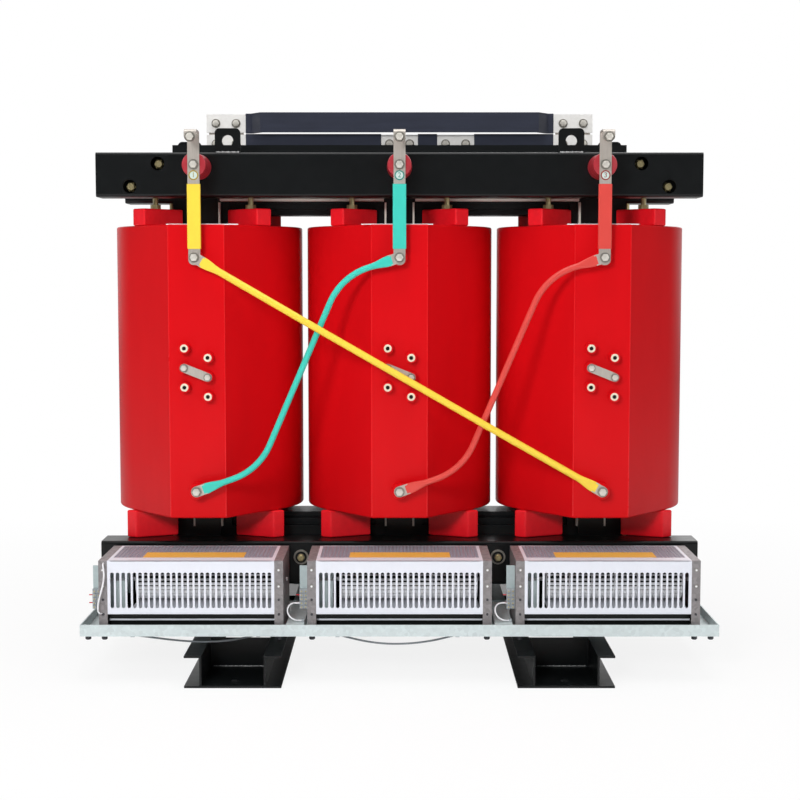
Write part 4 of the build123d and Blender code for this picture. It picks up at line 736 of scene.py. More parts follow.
def resampled(points, step):
    """Points at even steps along a line, with both its ends."""
    out, carry = [points[0]], 0.0
    for a, b in zip(points, points[1:]):
        run = (b - a).length
        at = step - carry
        while at < run:
            out.append(a.lerp(b, at / run))
            at += step
        carry = run - (at - step)
    return out + [points[-1]]


def link_ring(here, along, radius, share):
    """A ring of a link: a flat rounded bar where share is 0, and round where it is 1."""
    deep = (Vector((0, 1, 0)) - along * along.y).normalized()
    wide = along.cross(deep)
    half = PAD_HALF + (radius - PAD_HALF) * share
    thick = PAD_THICK + (radius - PAD_THICK) * share
    power = 2 / (6 - 4 * share)
    ring = []
    for k in range(LINK_SECTION):
        turn = 2 * math.pi * k / LINK_SECTION
        c, s = math.cos(turn), math.sin(turn)
        ring.append(here + wide * half * math.copysign(abs(c) ** power, c)
                    + deep * thick * math.copysign(abs(s) ** power, s))
    return ring


def link_rings(line, radius):
    """The rings along a link's line, which swell from its flat ends."""
    run = [0.0]
    for a, b in zip(line, line[1:]):
        run.append(run[-1] + (b - a).length)
    rings = []
    for i, here in enumerate(line):
        along = (line[min(i + 1, len(line) - 1)] - line[max(i - 1, 0)]).normalized()
        near = min(run[i], run[-1] - run[i])
        share = min(1.0, max(0.0, (near - FLAT_END) / SWELL))
        rings.append(link_ring(here, along, radius, share * share * (3 - 2 * share)))
    return rings


def eye_outline(centre, toward):
    """The outline of a link's bare eye, which reaches under the sleeve."""
    along = (toward - centre).normalized()
    wide = Vector((along.z, 0, -along.x)).normalized()
    root = centre + along * EYE_REACH
    turns = [math.pi * k / 16 for k in range(17)]
    round_end = [centre + wide * PAD_HALF * math.cos(t) - along * PAD_HALF * math.sin(t)
                 for t in turns]
    side = wide * (PAD_HALF - EYE_TAPER)
    return [(point.x, point.z) for point in (root + side, *round_end, root - side)]


class TRANSFORMER_OT_links(bpy.types.Operator):
    """Makes the sleeved delta links, with their flattened ends and bare tinned eyes"""

    bl_idname = "transformer.links"
    bl_label = "Delta links"

    def execute(self, context):
        for phase in PHASES:
            corners = link_corners(phase)
            line = resampled(rounded_path(corners, LINK_BEND), LINK_STEP)
            sleeve = Maker()
            rings = link_rings(line, LINK_RADIUS[phase])
            sleeve.skin([sleeve.points(ring) for ring in rings[BARE_STEPS:-BARE_STEPS]])
            sleeve.done("delta_link_sleeve_" + phase, ("sleeve_" + phase,), SLEEVE_SLOTS[phase],
                        replaces=("delta_link_" + phase,), angle=50.0)
            eyes = Maker()
            for centre, toward in (corners[:2], corners[:-3:-1]):
                eyes.prism(eye_outline(centre, toward), "Y", LINK_LEVEL - EYE_THICK,
                           LINK_LEVEL + EYE_THICK)
            eyes.done("delta_link_eyes_" + phase, ("tin",), "tinned_copper", bevel=0.6)
        return {"FINISHED"}


# Radius and distance from the clamp's face, from the foot to the nose of a post insulator.
INSULATOR_PROFILE = (
    (30.5, 0), (32.5, 2), (32.5, 16), (31.8, 22), (31.4, 30), (30.2, 34), (31.3, 38), (31.3, 50),
    (30, 54), (31.1, 58), (31.1, 72), (29.8, 76), (30.9, 80), (30.9, 98), (29.8, 102.5), (27, 104))


class TRANSFORMER_OT_insulators(bpy.types.Operator):
    """Turns the post insulators that hold the terminal bars"""

    bl_idname = "transformer.insulators"
    bl_label = "Post insulators"

    def execute(self, context):
        maker = Maker()
        for phase in PHASES:
            maker.turned([(radius, -CLAMP_FACE - out) for radius, out in INSULATOR_PROFILE], "Y",
                         (middle("hv_coil_" + phase).x, INSULATOR_Z), steps=56)
        maker.done("post_insulators", ("insulator",), "insulator_red", replaces=("hv_insulators",))
        return {"FINISHED"}


# Plans of the support blocks in front on the right of a coil, in millimetres from its axis.
BLOCK_PLANS = {
    "lower_support_blocks": ((77, 129), (184, 178), (212, 160), (106, 106)),
    "upper_support_blocks": ((59, 105), (147, 206), (183, 174), (95, 73)),
}


class TRANSFORMER_OT_blocks(bpy.types.Operator):
    """Moulds the support blocks above and below the coils"""

    bl_idname = "transformer.blocks"
    bl_label = "Support blocks"

    def execute(self, context):
        edge = context.scene.transformer_sizes.block_edge / MM
        for node, plan in BLOCK_PLANS.items():
            low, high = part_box(node)
            maker = Maker()
            for phase in PHASES:
                x = middle("hv_coil_" + phase).x
                for side in (-1, 1):
                    for way in (-1, 1):
                        maker.prism([(x + way * u, side * v) for u, v in plan], "Z", low.z / MM,
                                    high.z / MM)
            maker.done("moulded_" + node, ("blocks",), "block_red", replaces=(node,), bevel=edge,
                       angle=30.0)
        return {"FINISHED"}


# Across flats, head height and washer radius of each fastener, in millimetres.
TERMINAL_BOLT = (17, 8, 13.2)
TAP_BOLT = (14, 6, 10.5)
NEUTRAL_BOLT = (17, 9, 13)
YOKE_NUT = (17, 13, 20)
TIE_ROD_NUT = (22, 76, 14)
RAIL_SCREW = (13, 6.5, 8.5)
RAIL_NUT = (13, 12, 8.5)
PLATE_SCREW = (5, 1.6, 3.0)
PLATE_PLUG = (5, 1.2, 4.2)

# Where they sit, in millimetres. A joint of the neutral bars has its middle, and whether it holds
# both bars.
NEUTRAL_JOINTS = ((-500, True), (500, True), (0, False), (161.5, False))
NEUTRAL_BOLT_HALF_PITCH = 29.0
BUSBAR_FACES = (233, 249)
YOKE_BOLT_X = 260
YOKE_BOLT_DROP = 42
YOKE_RING_PROFILE = ((9, 0), (16, 0), (15, 3.2), (9, 3.2))
TIE_RODS = ((627, 86), (700, 27))
CLAMP_INNER_WALL = 138
RAIL_BOLT_ROWS = (-458, -270)
FAN_FOOT_X = 219
ARM_X = 780
FAN_FOOT_WALL = 4.5
ARM_WALL = 6
END_PLATE_FACE = -472
SCREW_LEVELS = (205, 168)
PLUG_LEVELS = (280, 239)
DIRECTIONS = {"front": (0, -1, 0), "back": (0, 1, 0), "down": (0, 0, -1), "up": (0, 0, 1)}


def both_sides(x):
    """A place and its mirror image, left one first."""
    return (-x, x)


def terminal_places():
    """Seats on both ends of the links and on the terminal bars, and seats on the tap links."""
    front = DIRECTIONS["front"]
    terminals, taps = [], []
    for phase in PHASES:
        x = middle("hv_coil_" + phase).x
        z0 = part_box("hv_coil_" + phase)[0].z / MM
        terminals += [((x, LINK_FACE, z0 + TOP_TERMINAL_RISE), front),
                      ((x, LINK_FACE, z0 + BOTTOM_TERMINAL_RISE), front),
                      ((x, BAR_FACE, INSULATOR_Z), front), ((x, HOOK_FACE, HOOK_BOLT_Z), front)]
        taps += [((x + px, TAP_LINK_FACE, z0 + rise), front) for px, rise in LINKED_TAPS]
    return terminals, taps


def neutral_places():
    """Seats on the front and back of the neutral bars' joints."""
    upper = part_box("neutral_bars")[1].z / MM - BUSBAR_HEIGHT / 2
    levels = (upper, upper - BUSBAR_HEIGHT - BUSBAR_GAP)
    places = []
    for centre, holds_both in NEUTRAL_JOINTS:
        for z in levels if holds_both else levels[1:]:
            for dx in both_sides(NEUTRAL_BOLT_HALF_PITCH):
                places += [((centre + dx, face, z), DIRECTIONS[way])
                           for face, way in zip(BUSBAR_FACES, ("front", "back"))]
    return places


def tie_rod_places():
    """Seats of the tie rods' nuts, inside the clamps."""
    places = []
    for clamp in ("lower_clamp_front", "upper_clamp_front"):
        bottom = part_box(clamp)[0].z / MM
        for x, rise in TIE_RODS:
            places += [((dx, side * CLAMP_INNER_WALL, bottom + rise), (0, side, 0))
                       for dx in both_sides(x) for side in (-1, 1)]
    return places


def rail_places(way):
    """Seats above or below the rails, on the fans' feet and on the arms."""
    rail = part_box("fan_rail_front")[0].z / MM
    places = []
    for y in RAIL_BOLT_ROWS:
        seats = [(middle("fan_cover_" + phase).x + dx, FAN_FOOT_WALL)
                 for phase in PHASES for dx in both_sides(FAN_FOOT_X)]
        seats += [(dx, ARM_WALL) for dx in both_sides(ARM_X)]
        places += [((x, y, rail + (wall if way == "up" else 0)), DIRECTIONS[way])
                   for x, wall in seats]
    return places


def end_plate_places(levels):
    """Seats on the front edges of the fans' end plates, at some levels."""
    return [((middle("fan_cover_" + phase).x + dx, END_PLATE_FACE, z), DIRECTIONS["front"])
            for phase in PHASES for dx in both_sides(FAN_FOOT_X) for z in levels]


class TRANSFORMER_OT_fasteners(bpy.types.Operator):
    """Fits every hexagon bolt and nut with its washer"""

    bl_idname = "transformer.fasteners"
    bl_label = "Fasteners"

    def execute(self, context):
        terminals, taps = terminal_places()
        clean = ("bright", "washers")
        bolts("terminal_bolts", terminals, TERMINAL_BOLT, clean, ("hv_fasteners",))
        bolts("tap_bolts", taps, TAP_BOLT, clean)
        bolts("neutral_bar_bolts", neutral_places(), NEUTRAL_BOLT, clean, ("neutral_bolts",))
        yoke_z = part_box("lower_clamp_front")[1].z / MM - YOKE_BOLT_DROP
        places = [((x, side * CLAMP_FACE, yoke_z), (0, side, 0))
                  for x in both_sides(YOKE_BOLT_X) for side in (-1, 1)]
        bolts("yoke_nuts", places, YOKE_NUT, replaces=("yoke_bolts",))
        rings = Maker()
        for (x, y, z), way in places:
            rings.ring([(radius, y + way[1] * out) for radius, out in YOKE_RING_PROFILE], "Y",
                       (x, z))
        rings.done("yoke_nut_rings", ("enamel",), "black_paint")
        bolts("tie_rod_nuts", tie_rod_places(), TIE_ROD_NUT, ("zinc", "zinc"))
        bolts("rail_screws", rail_places("up"), RAIL_SCREW, ("washers", "washers"),
              ("rail_bolts",))
        bolts("rail_nuts", rail_places("down"), RAIL_NUT, ("dull", "washers"))
        bolts("end_plate_screws", end_plate_places(SCREW_LEVELS), PLATE_SCREW, ("dull", "dull"))
        bolts("end_plate_plugs", end_plate_places(PLUG_LEVELS), PLATE_PLUG,
              ("white_lead", "washers"))
        return {"FINISHED"}


def text_mesh(name, words, size, finish_key):
    """A flat numeral in the XZ plane, as a plain mesh in millimetres about the origin."""
    curve = bpy.data.curves.new(name, "FONT")
    curve.body = words
    curve.size = size * MM
    curve.extrude = 0.15 * MM
    curve.align_x, curve.align_y = "CENTER", "CENTER"
    source = bpy.data.objects.new(name, curve)
    bpy.context.scene.collection.objects.link(source)
    bpy.context.view_layer.update()
    graph = bpy.context.evaluated_depsgraph_get()
    data = bpy.data.meshes.new_from_object(source.evaluated_get(graph), depsgraph=graph)
    bpy.data.objects.remove(source)
    for vertex in data.vertices:
        x, y, z = vertex.co
        vertex.co = (x, -z, y)
    data.materials.clear()
    return new_object(name, data, (finish_key,))


MARK_BORDER = 3.0
MARK_WALL = 0.6
MARK_SINK = 0.1
NUMERAL_HEIGHT = 18.0


class TRANSFORMER_OT_marks(bpy.types.Operator):
    """Puts a round mark with a plain number on each terminal bar"""

    bl_idname = "transformer.marks"
    bl_label = "Phase marks"

    def execute(self, context):
        radius = context.scene.transformer_sizes.mark_radius / MM
        inner, front = radius - MARK_BORDER, BAR_FACE - MARK_WALL
        for number, phase in enumerate(PHASES, start=1):
            x = middle("hv_coil_" + phase).x
            maker = Maker()
            maker.turned([(inner, BAR_FACE), (inner, front + MARK_SINK)], "Y", (x, MARK_Z))
            maker.paint = 1
            maker.ring([(inner, BAR_FACE), (radius, BAR_FACE), (radius, front), (inner, front)],
                       "Y", (x, MARK_Z))
            maker.done("phase_mark_" + phase, ("paper", "ink_" + phase), "white_lead")
            numeral = text_mesh("phase_number_" + phase, str(number), NUMERAL_HEIGHT,
                                "ink_" + phase)
            for vertex in numeral.data.vertices:
                vertex.co += Vector((x, front, MARK_Z)) * MM
            settle(numeral)
        return {"FINISHED"}


# The fans, in millimetres.
FAN_HALF = 208.0
COVER_FACE = -472.0
COVER_BACK = -254.5
COVER_RETURN = 12.0
SLOT_RISE = 14.5
SLOT_MARGIN = 5.0
TOP_RIM = 8.0
TOP_BORDER = 45.0
HOLE_COLUMNS = 44
HOLE_LINES = 18
MERGE_REACH = 0.01
STRIP_X = (-126.0, 128.0)
STRIP_Y = (46.0, 118.0)
STRIP_WALL = 0.5
# Sheets under a cover: finish, then two corners, with X from the middle of the fan. The black ones,
# finish 1, are painted shade between the fan's floor and the rail.
GUIDE_SHEETS = (
    (0, (-FAN_HALF, -452, 148.5), (FAN_HALF, -450, 152.5)),
    (0, (-150, -466, 180), (200, -345, 181.5)),
    (1, (-FAN_HALF, -486, 119), (FAN_HALF, -449, 120.5)),
    (1, (-FAN_HALF, -449, 119), (FAN_HALF, -447, 147)),
)


def merge(maker):
    """Joins the points that lie on each other."""
    bmesh.ops.remove_doubles(maker.mesh, verts=maker.mesh.verts, dist=MERGE_REACH * MM)
    return maker


def slot_cell(x0, pitch, z0, z1, low, width, height):
    """One pitch of a slotted sheet: four flat faces round an obround hole."""
    maker = Maker()
    cx, radius = x0 + pitch / 2, width / 2
    lower, upper = low + radius, low + height - radius
    turns = [math.pi * k / 8 for k in range(9)]
    under = [(cx - radius * math.cos(t), lower - radius * math.sin(t)) for t in turns]
    over = [(cx + radius * math.cos(t), upper + radius * math.sin(t)) for t in turns]
    left, right = x0, x0 + pitch
    for loop in ([(left, z0), (left, lower)] + under + [(right, lower), (right, z0)],
                 [(right, z1), (right, upper)] + over + [(left, upper), (left, z1)],
                 [(left, lower), (left, upper), (cx - radius, upper), (cx - radius, lower)],
                 [(right, upper), (right, lower), (cx + radius, lower), (cx + radius, upper)]):
        maker.panel([(u, COVER_FACE, v) for u, v in loop])
    return merge(maker)


def hole_cell(x0, y0, pitch_x, pitch_y, z, across):
    """One pitch of a perforated sheet: two flat faces round a six-sided hole."""
    maker = Maker()
    cx, cy, radius = x0 + pitch_x / 2, y0 + pitch_y / 2, across / 2
    turns = [math.pi * k / 3 for k in range(6)]
    ring = [(cx + radius * math.cos(t), cy + radius * math.sin(t)) for t in turns]
    x1, y1 = x0 + pitch_x, y0 + pitch_y
    for loop in ([(x0, cy), (x0, y0), (x1, y0), (x1, cy), ring[0], ring[5], ring[4], ring[3]],
                 [(x1, cy), (x1, y1), (x0, y1), (x0, cy), ring[3], ring[2], ring[1], ring[0]]):
        maker.panel([(u, v, z) for u, v in loop])
    return merge(maker)


class TRANSFORMER_OT_covers(bpy.types.Operator):
    """Folds the white fan covers, with slots in front and small holes on top, and their strips"""

    bl_idname = "transformer.covers"
    bl_label = "Fan covers"

    def execute(self, context):
        sizes = context.scene.transformer_sizes
        row = bpy.data.node_groups.get("Row of copies") or copies_tree("Row of copies", False)
        pitch = 2 * (FAN_HALF - SLOT_MARGIN) / sizes.slot_count
        hole_x = 2 * (FAN_HALF - TOP_RIM) / HOLE_COLUMNS
        hole_y = (COVER_BACK - COVER_FACE - TOP_BORDER - TOP_RIM) / HOLE_LINES
        for phase in PHASES:
            node = "fan_cover_" + phase
            x = middle(node).x
            z0, z1 = (corner.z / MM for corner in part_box(node))
            x0, x1 = x - FAN_HALF, x + FAN_HALF
            front = slot_cell(x0 + SLOT_MARGIN, pitch, z0, z1, z0 + SLOT_RISE,
                              sizes.slot_width / MM, sizes.slot_height / MM
                              ).done("cover_front_" + phase, ("covers",), "")
            top = hole_cell(x0 + TOP_RIM, COVER_FACE + TOP_BORDER, hole_x, hole_y, z1,
                            sizes.perforation / MM).done("cover_top_" + phase, ("covers",), "")
            for piece, count, step in ((front, sizes.slot_count, (pitch * MM, 0, 0)),
                                       (top, HOLE_COLUMNS, (hole_x * MM, 0, 0)),
                                       (top, HOLE_LINES, (0, hole_y * MM, 0))):
                run_tree(piece, row, {"Count": count, "Step": step,
                                      "Finish": FINISHES["covers"]})
            maker = Maker()
            maker.mesh.from_mesh(top.data)
            # The perforated top takes the darker finish: painted shade for the dark inside its
            # holes.
            for face in maker.mesh.faces:
                face.material_index = 1
            maker.mesh.from_mesh(front.data)
            for piece in (front, top):
                bpy.data.objects.remove(piece)
            xs = (x0, x0 + TOP_RIM, x1 - TOP_RIM, x1)
            ys = (COVER_FACE, COVER_FACE + TOP_BORDER, COVER_BACK - TOP_RIM, COVER_BACK)
            for i in range(3):
                for j in range(3):
                    if (i, j) != (1, 1):
                        maker.panel([(xs[i], ys[j], z1), (xs[i + 1], ys[j], z1),
                                     (xs[i + 1], ys[j + 1], z1), (xs[i], ys[j + 1], z1)])
            for a, b in ((x0, x0 + SLOT_MARGIN), (x1 - SLOT_MARGIN, x1)):
                maker.panel([(a, COVER_FACE, z0), (b, COVER_FACE, z0), (b, COVER_FACE, z1),
                             (a, COVER_FACE, z1)])
            fold = COVER_FACE + COVER_RETURN
            maker.panel([(x0, COVER_FACE, z0), (x1, COVER_FACE, z0), (x1, fold, z0),
                         (x0, fold, z0)])
            cover = merge(maker).done("slotted_cover_" + phase, ("covers", "perforated"), "")
            shell = cover.modifiers.new("sheet", "SOLIDIFY")
            shell.thickness = sizes.sheet_wall
            shell.offset = -1.0
            settle(plain(cover), replaces=(node,))
            strip = Maker()
            strip.block((x + STRIP_X[0], COVER_FACE + STRIP_Y[0], z1),
                        (x + STRIP_X[1], COVER_FACE + STRIP_Y[1], z1 + STRIP_WALL))
            strip.done("cover_strip_" + phase, ("strip",), "fan_white", bevel=0.2)
            # The air guide's black sheets are painted shade under the cover.
            guide = Maker()
            for paint, low, high in GUIDE_SHEETS:
                guide.paint = paint
                guide.block((x + low[0], *low[1:]), (x + high[0], *high[1:]))
            guide.done("air_guide_" + phase, ("covers", "rubber"), "fan_plate")
        return {"FINISHED"}


# The impellers, in millimetres: ends from the fan's middle, and the blades' lean in radians.
IMPELLER_AXIS = (-362.0, 236.0)
IMPELLER_RADIUS = 49.5
IMPELLER_ENDS = (-148.0, 198.0)
BLADE_LEAN = 0.1
BLADE_HALF_WALL = 0.5
BLADE_STEPS = 5
HOOP_GAPS = 6
DISC_WALL = 1.2
SHAFT_RADIUS = 4.9
SHAFT_ENTRY = 2.0


def blade_outline(chord):
    """The section of the topmost blade, across the impeller's axis."""
    y, z = IMPELLER_AXIS
    sides = {BLADE_HALF_WALL: [], -BLADE_HALF_WALL: []}
    for k in range(BLADE_STEPS + 1):
        share = k / BLADE_STEPS
        reach = IMPELLER_RADIUS - chord * share
        lean = BLADE_LEAN * math.sin(math.pi / 2 * share)
        for gap, side in sides.items():
            turn = lean + gap / reach
            side.append((y + reach * math.sin(turn), z + reach * math.cos(turn)))
    outer, inner = sides.values()
    return outer + inner[::-1]


class TRANSFORMER_OT_impellers(bpy.types.Operator):
    """Makes the cross-flow impellers: curved blades between thin discs on a shaft"""

    bl_idname = "transformer.impellers"
    bl_label = "Impellers"

    def execute(self, context):
        sizes = context.scene.transformer_sizes
        wheel = (bpy.data.node_groups.get("Ring of copies")
                 or copies_tree("Ring of copies", True))
        chord = sizes.blade_chord / MM
        inner = IMPELLER_RADIUS - chord
        for phase in PHASES:
            node = "fan_impeller_" + phase
            low, high = (corner.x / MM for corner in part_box(node))
            x = middle("fan_cover_" + phase).x
            x0, x1 = (x + end for end in IMPELLER_ENDS)
            blade = Maker()
            blade.prism(blade_outline(chord), "X", x0, x1)
            obj = blade.done("impeller_" + phase, ("blades",), "")
            run_tree(obj, wheel, {
                "Count": sizes.blade_count, "Step": (2 * math.pi / sizes.blade_count, 0, 0),
                "Pivot": Vector((0, *IMPELLER_AXIS)) * MM, "Finish": FINISHES["blades"]})
            maker = Maker()
            maker.mesh.from_mesh(obj.data)
            bpy.data.objects.remove(obj)
            for k in range(HOOP_GAPS + 1):
                at = x0 + (x1 - x0 - DISC_WALL) * k / HOOP_GAPS
                maker.ring([(IMPELLER_RADIUS, at), (IMPELLER_RADIUS, at + DISC_WALL),
                            (inner, at + DISC_WALL), (inner, at)], "X", IMPELLER_AXIS, steps=48)
            for at in (x0 + DISC_WALL, x1 - 2 * DISC_WALL):
                maker.turned([(inner, at), (inner, at + DISC_WALL)], "X", IMPELLER_AXIS)
            for ends in ((low, x0 + SHAFT_ENTRY), (x1 - SHAFT_ENTRY, high)):
                maker.turned([(SHAFT_RADIUS, at) for at in ends], "X", IMPELLER_AXIS, steps=24)
            # A dark drum stands for the shade inside the blades.
            maker.paint = 1
            maker.turned([(inner, x0 + 2 * DISC_WALL), (inner, x1 - 2 * DISC_WALL)], "X",
                         IMPELLER_AXIS)
            maker.done("cross_flow_impeller_" + phase, ("blades", "rubber"), "impeller_black",
                       body="impeller_" + phase, replaces=(node,))
        return {"FINISHED"}


# A terminal block's place from the fan's middle, its ways, clamps and screws, in millimetres.
TERMINAL_X = (-251.0, -230.0)
TERMINAL_Y = (-444.0, -432.0)
TERMINAL_Z = 176.0
TERMINAL_WAYS = 5
WAY_PITCH = 10.0
CLAMP_INSET = 5.2
CLAMP_HALF = (4.2, 3.6)
CLAMP_FRONT = -448.0
SCREW_PROFILE = ((2.1, -447.0), (2.1, -448.4), (1.6, -448.8))
WIRE_WAYS = (1, 3)
WIRE_PROFILE = ((1.4, -9.0), (1.4, 1.0))
WIRE_Y = -440.0


class TRANSFORMER_OT_terminals(bpy.types.Operator):
    """Makes the fans' small cable terminal blocks"""

    bl_idname = "transformer.terminals"
    bl_label = "Terminal blocks"

    def execute(self, context):
        maker = Maker()
        levels = [TERMINAL_Z + WAY_PITCH * (k + 0.5) for k in range(TERMINAL_WAYS)]
        for phase in PHASES:
            x0, x1 = (middle("fan_cover_" + phase).x + end for end in TERMINAL_X)
            sides = (x0 + CLAMP_INSET, x1 - CLAMP_INSET)
            maker.paint = 0
            maker.block((x0, TERMINAL_Y[0], TERMINAL_Z),
                        (x1, TERMINAL_Y[1], TERMINAL_Z + WAY_PITCH * TERMINAL_WAYS))
            for z in levels:
                maker.paint = 0
                for side in sides:
                    maker.block((side - CLAMP_HALF[0], CLAMP_FRONT, z - CLAMP_HALF[1]),
                                (side + CLAMP_HALF[0], TERMINAL_Y[0], z + CLAMP_HALF[1]))
                maker.paint = 1
                for side in sides:
                    maker.turned(SCREW_PROFILE, "Y", (side, z), steps=12)
            maker.paint = 2
            for way in WIRE_WAYS:
                maker.turned([(radius, x0 + reach) for radius, reach in WIRE_PROFILE], "X",
                             (WIRE_Y, levels[way]), steps=10)
        maker.done("cable_terminals", ("nylon", "zinc", "red_lead"), "motor_grey",
                   replaces=("fan_terminal_blocks",), bevel=0.3)
        return {"FINISHED"}


# The yoke boards: end from a limb's axis, depth, and levels from the clamp's underside.
BOARD_END = 42.0
BOARD_DEPTH = (-131.0, -104.0)
BOARD_LEVELS = (-6.0, 30.0)


class TRANSFORMER_OT_boards(bpy.types.Operator):
    """Slips the pale insulating boards between the upper yoke and its front clamp"""

    bl_idname = "transformer.boards"
    bl_label = "Yoke boards"

    def execute(self, context):
        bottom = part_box("upper_clamp_front")[0].z / MM
        xs = [middle("hv_coil_" + phase).x for phase in PHASES]
        maker = Maker()
        for left, right in zip(xs, xs[1:]):
            maker.block((left + BOARD_END, BOARD_DEPTH[0], bottom + BOARD_LEVELS[0]),
                        (right - BOARD_END, BOARD_DEPTH[1], bottom + BOARD_LEVELS[1]))
        maker.done("yoke_boards", ("board",), "insulation_board", bevel=0.8)
        return {"FINISHED"}


# Where the weld runs lie and half their length, and the shape of a bead, in millimetres.
LUG_WELD = (446.0, -226.5, 30.0)
LUG_WELD_RISE = 0.5
FOOT_WELD = (410.0, 351.0, 70.0)
FOOT_WELD_Z = 6.0
BEAD_PITCH = 5.0
BEAD_HALF_LENGTH = 3.4
BEAD_SWELL = 2.2
BEAD_VARIATION = 0.6
BEAD_SIDES = 8


class TRANSFORMER_OT_welds(bpy.types.Operator):
    """Lays the weld beads at the feet of the lifting lugs and along the feet's end plates"""

    bl_idname = "transformer.welds"
    bl_label = "Weld beads"

    def execute(self, context):
        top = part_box("upper_clamp_front")[1].z / MM
        runs = []
        for way in (-1, 1):
            x, y, half = LUG_WELD
            runs.append((way * x, y, top + LUG_WELD_RISE, half))
            x, y, half = FOOT_WELD
            runs += [(way * x, side * y, FOOT_WELD_Z, half) for side in (-1, 1)]
        maker = Maker()
        turns = [2 * math.pi * i / BEAD_SIDES for i in range(BEAD_SIDES)]
        for x, y, z, half in runs:
            start, end = Vector((x - half, y, z)), Vector((x + half, y, z))
            beads = round(2 * half / BEAD_PITCH)
            for k in range(beads):
                c = start.lerp(end, (k + 0.5) / beads)
                swell = BEAD_SWELL + BEAD_VARIATION * math.sin(k * 2.4)
                rows = []
                for share in (-1, -0.6, 0, 0.6, 1):
                    reach = swell * math.sqrt(max(0.02, 1 - share * share))
                    rows.append(maker.points([
                        (c.x + share * BEAD_HALF_LENGTH, c.y + reach * math.cos(t),
                         c.z + reach * math.sin(t)) for t in turns]))
                maker.skin(rows)
        # The beads' pale crests are a painted highlight.
        maker.done("weld_beads", ("weld",), "black_paint", angle=80.0)
        return {"FINISHED"}


# The cables' and leads' routes, in millimetres, as the frame's tubes have them.
CABLE_POINTS = {
    "left": ((-665, 109), (-625, 103.5), (-582, 98), (-537, 93.5), (-491, 92), (-446, 93.5),
             (-402, 99.5), (-361, 109)),
    "middle": ((-150, 109), (-115, 99.5), (-73, 91), (-28, 86.5), (18, 87), (62, 91.5),
               (103, 99), (140, 109)),
}
CABLE_Y = -445
END_LEAD = ((-217, -472.3, 297), (-217, -481, 297), (-215, -486, 288), (-213, -486.5, 270),
            (-216, -486, 246), (-223, -485.5, 222), (-229, -485, 199), (-230, -485.5, 180),
            (-226, -481, 170), (-223, -472.3, 170))
GAP_LEAD = ((-251.3, -441, 190), (-262, -441, 191), (-273, -446, 189), (-280, -453, 182),
            (-281, -459, 171), (-275, -462, 160), (-265, -461, 152.5), (-255, -458, 149),
            (-245.8, -456, 149))
LEAD_POINTS = {"a": END_LEAD, "b": GAP_LEAD, "c": GAP_LEAD}


def cord(node, points, width, finish_key):
    """A cable or lead on one smooth line from end to end."""
    curve = bpy.data.curves.new(node + "_line", "CURVE")
    curve.dimensions = "3D"
    spline = curve.splines.new("NURBS")
    spline.points.add(len(points) - 1)
    for target, point in zip(spline.points, points):
        target.co = (*(Vector(point) * MM), 1)
    spline.order_u = 3
    spline.use_endpoint_u = True
    spline.resolution_u = 12
    curve.bevel_depth = width / 2
    curve.bevel_resolution = 4
    curve.use_fill_caps = True
    obj = new_object(node + "_soft", curve, (finish_key,))
    settle(obj, replaces=(node,))


class TRANSFORMER_OT_cords(bpy.types.Operator):
    """Hangs the grey fan cables and the white fan leads"""

    bl_idname = "transformer.cords"
    bl_label = "Cables and leads"

    def execute(self, context):
        sizes = context.scene.transformer_sizes
        for name, route in CABLE_POINTS.items():
            cord("fan_cable_" + name, [(x, CABLE_Y, z) for x, z in route], sizes.cable_width,
                 "grey_cable")
        for phase, route in LEAD_POINTS.items():
            x = middle("fan_cover_" + phase).x
            cord("fan_lead_" + phase, [(x + px, y, z) for px, y, z in route], sizes.lead_width,
                 "white_lead")
        return {"FINISHED"}


WHITE = (1, 1, 1, 1)
FLOOR_REACH = 40.0
FLOOR_SHADE = (0.92, 0.92, 0.92, 1)
# Metres from the middle, and how much of the floor's own white the camera sees there.
FLOOR_FADE = {"From Min": 0.8, "From Max": 2.6, "To Min": 0.86, "To Max": 1.0}
# How bright the studio is by height, and how bright its backdrop is in mirrors.
STUDIO_LEVELS = {"From Min": 0.0, "From Max": 0.9, "To Min": 0.06, "To Max": 0.45}
BACKDROP_LEVELS = {"From Min": 0.3, "From Max": 0.9, "To Min": 0.0, "To Max": 1.0}
# Name, place, aim, side and power of each soft light, and whether surfaces mirror it.
LAMPS = (
    ("front", (-1.5, -4.8, 2.4), (0, -0.2, 0.6), 1.0, 125.0, False),
    ("key", (-3.4, -3.4, 3.0), (0, -0.2, 0.8), 2.0, 20.0, True),
    ("fill", (3.6, -3.2, 2.0), (0, -0.2, 0.7), 1.8, 24.0, True),
    ("top", (0, -0.6, 4.2), (0, -0.1, 1.0), 3.0, 70.0, True),
    ("rear", (1.5, 4.0, 3.0), (0, 0, 0.8), 2.4, 45.0, True),
)
CAMERA_LENS = 70.07
CAMERA_SENSOR = 36.0
CAMERA_PLACE = (0.0013, -4.302, 1.012)
CAMERA_TILT = 85.41


def add_lamps(scene):
    """Hangs the soft lights."""
    for name, spot, aim, side, power, mirrored in LAMPS:
        light = bpy.data.lights.new(name, "AREA")
        light.energy = power
        light.size = side
        lamp = bpy.data.objects.new(name, light)
        lamp.location = spot
        lamp.visible_glossy = mirrored
        direction = Vector(aim) - Vector(spot)
        lamp.rotation_euler = direction.to_track_quat("-Z", "Y").to_euler()
        scene.collection.objects.link(lamp)


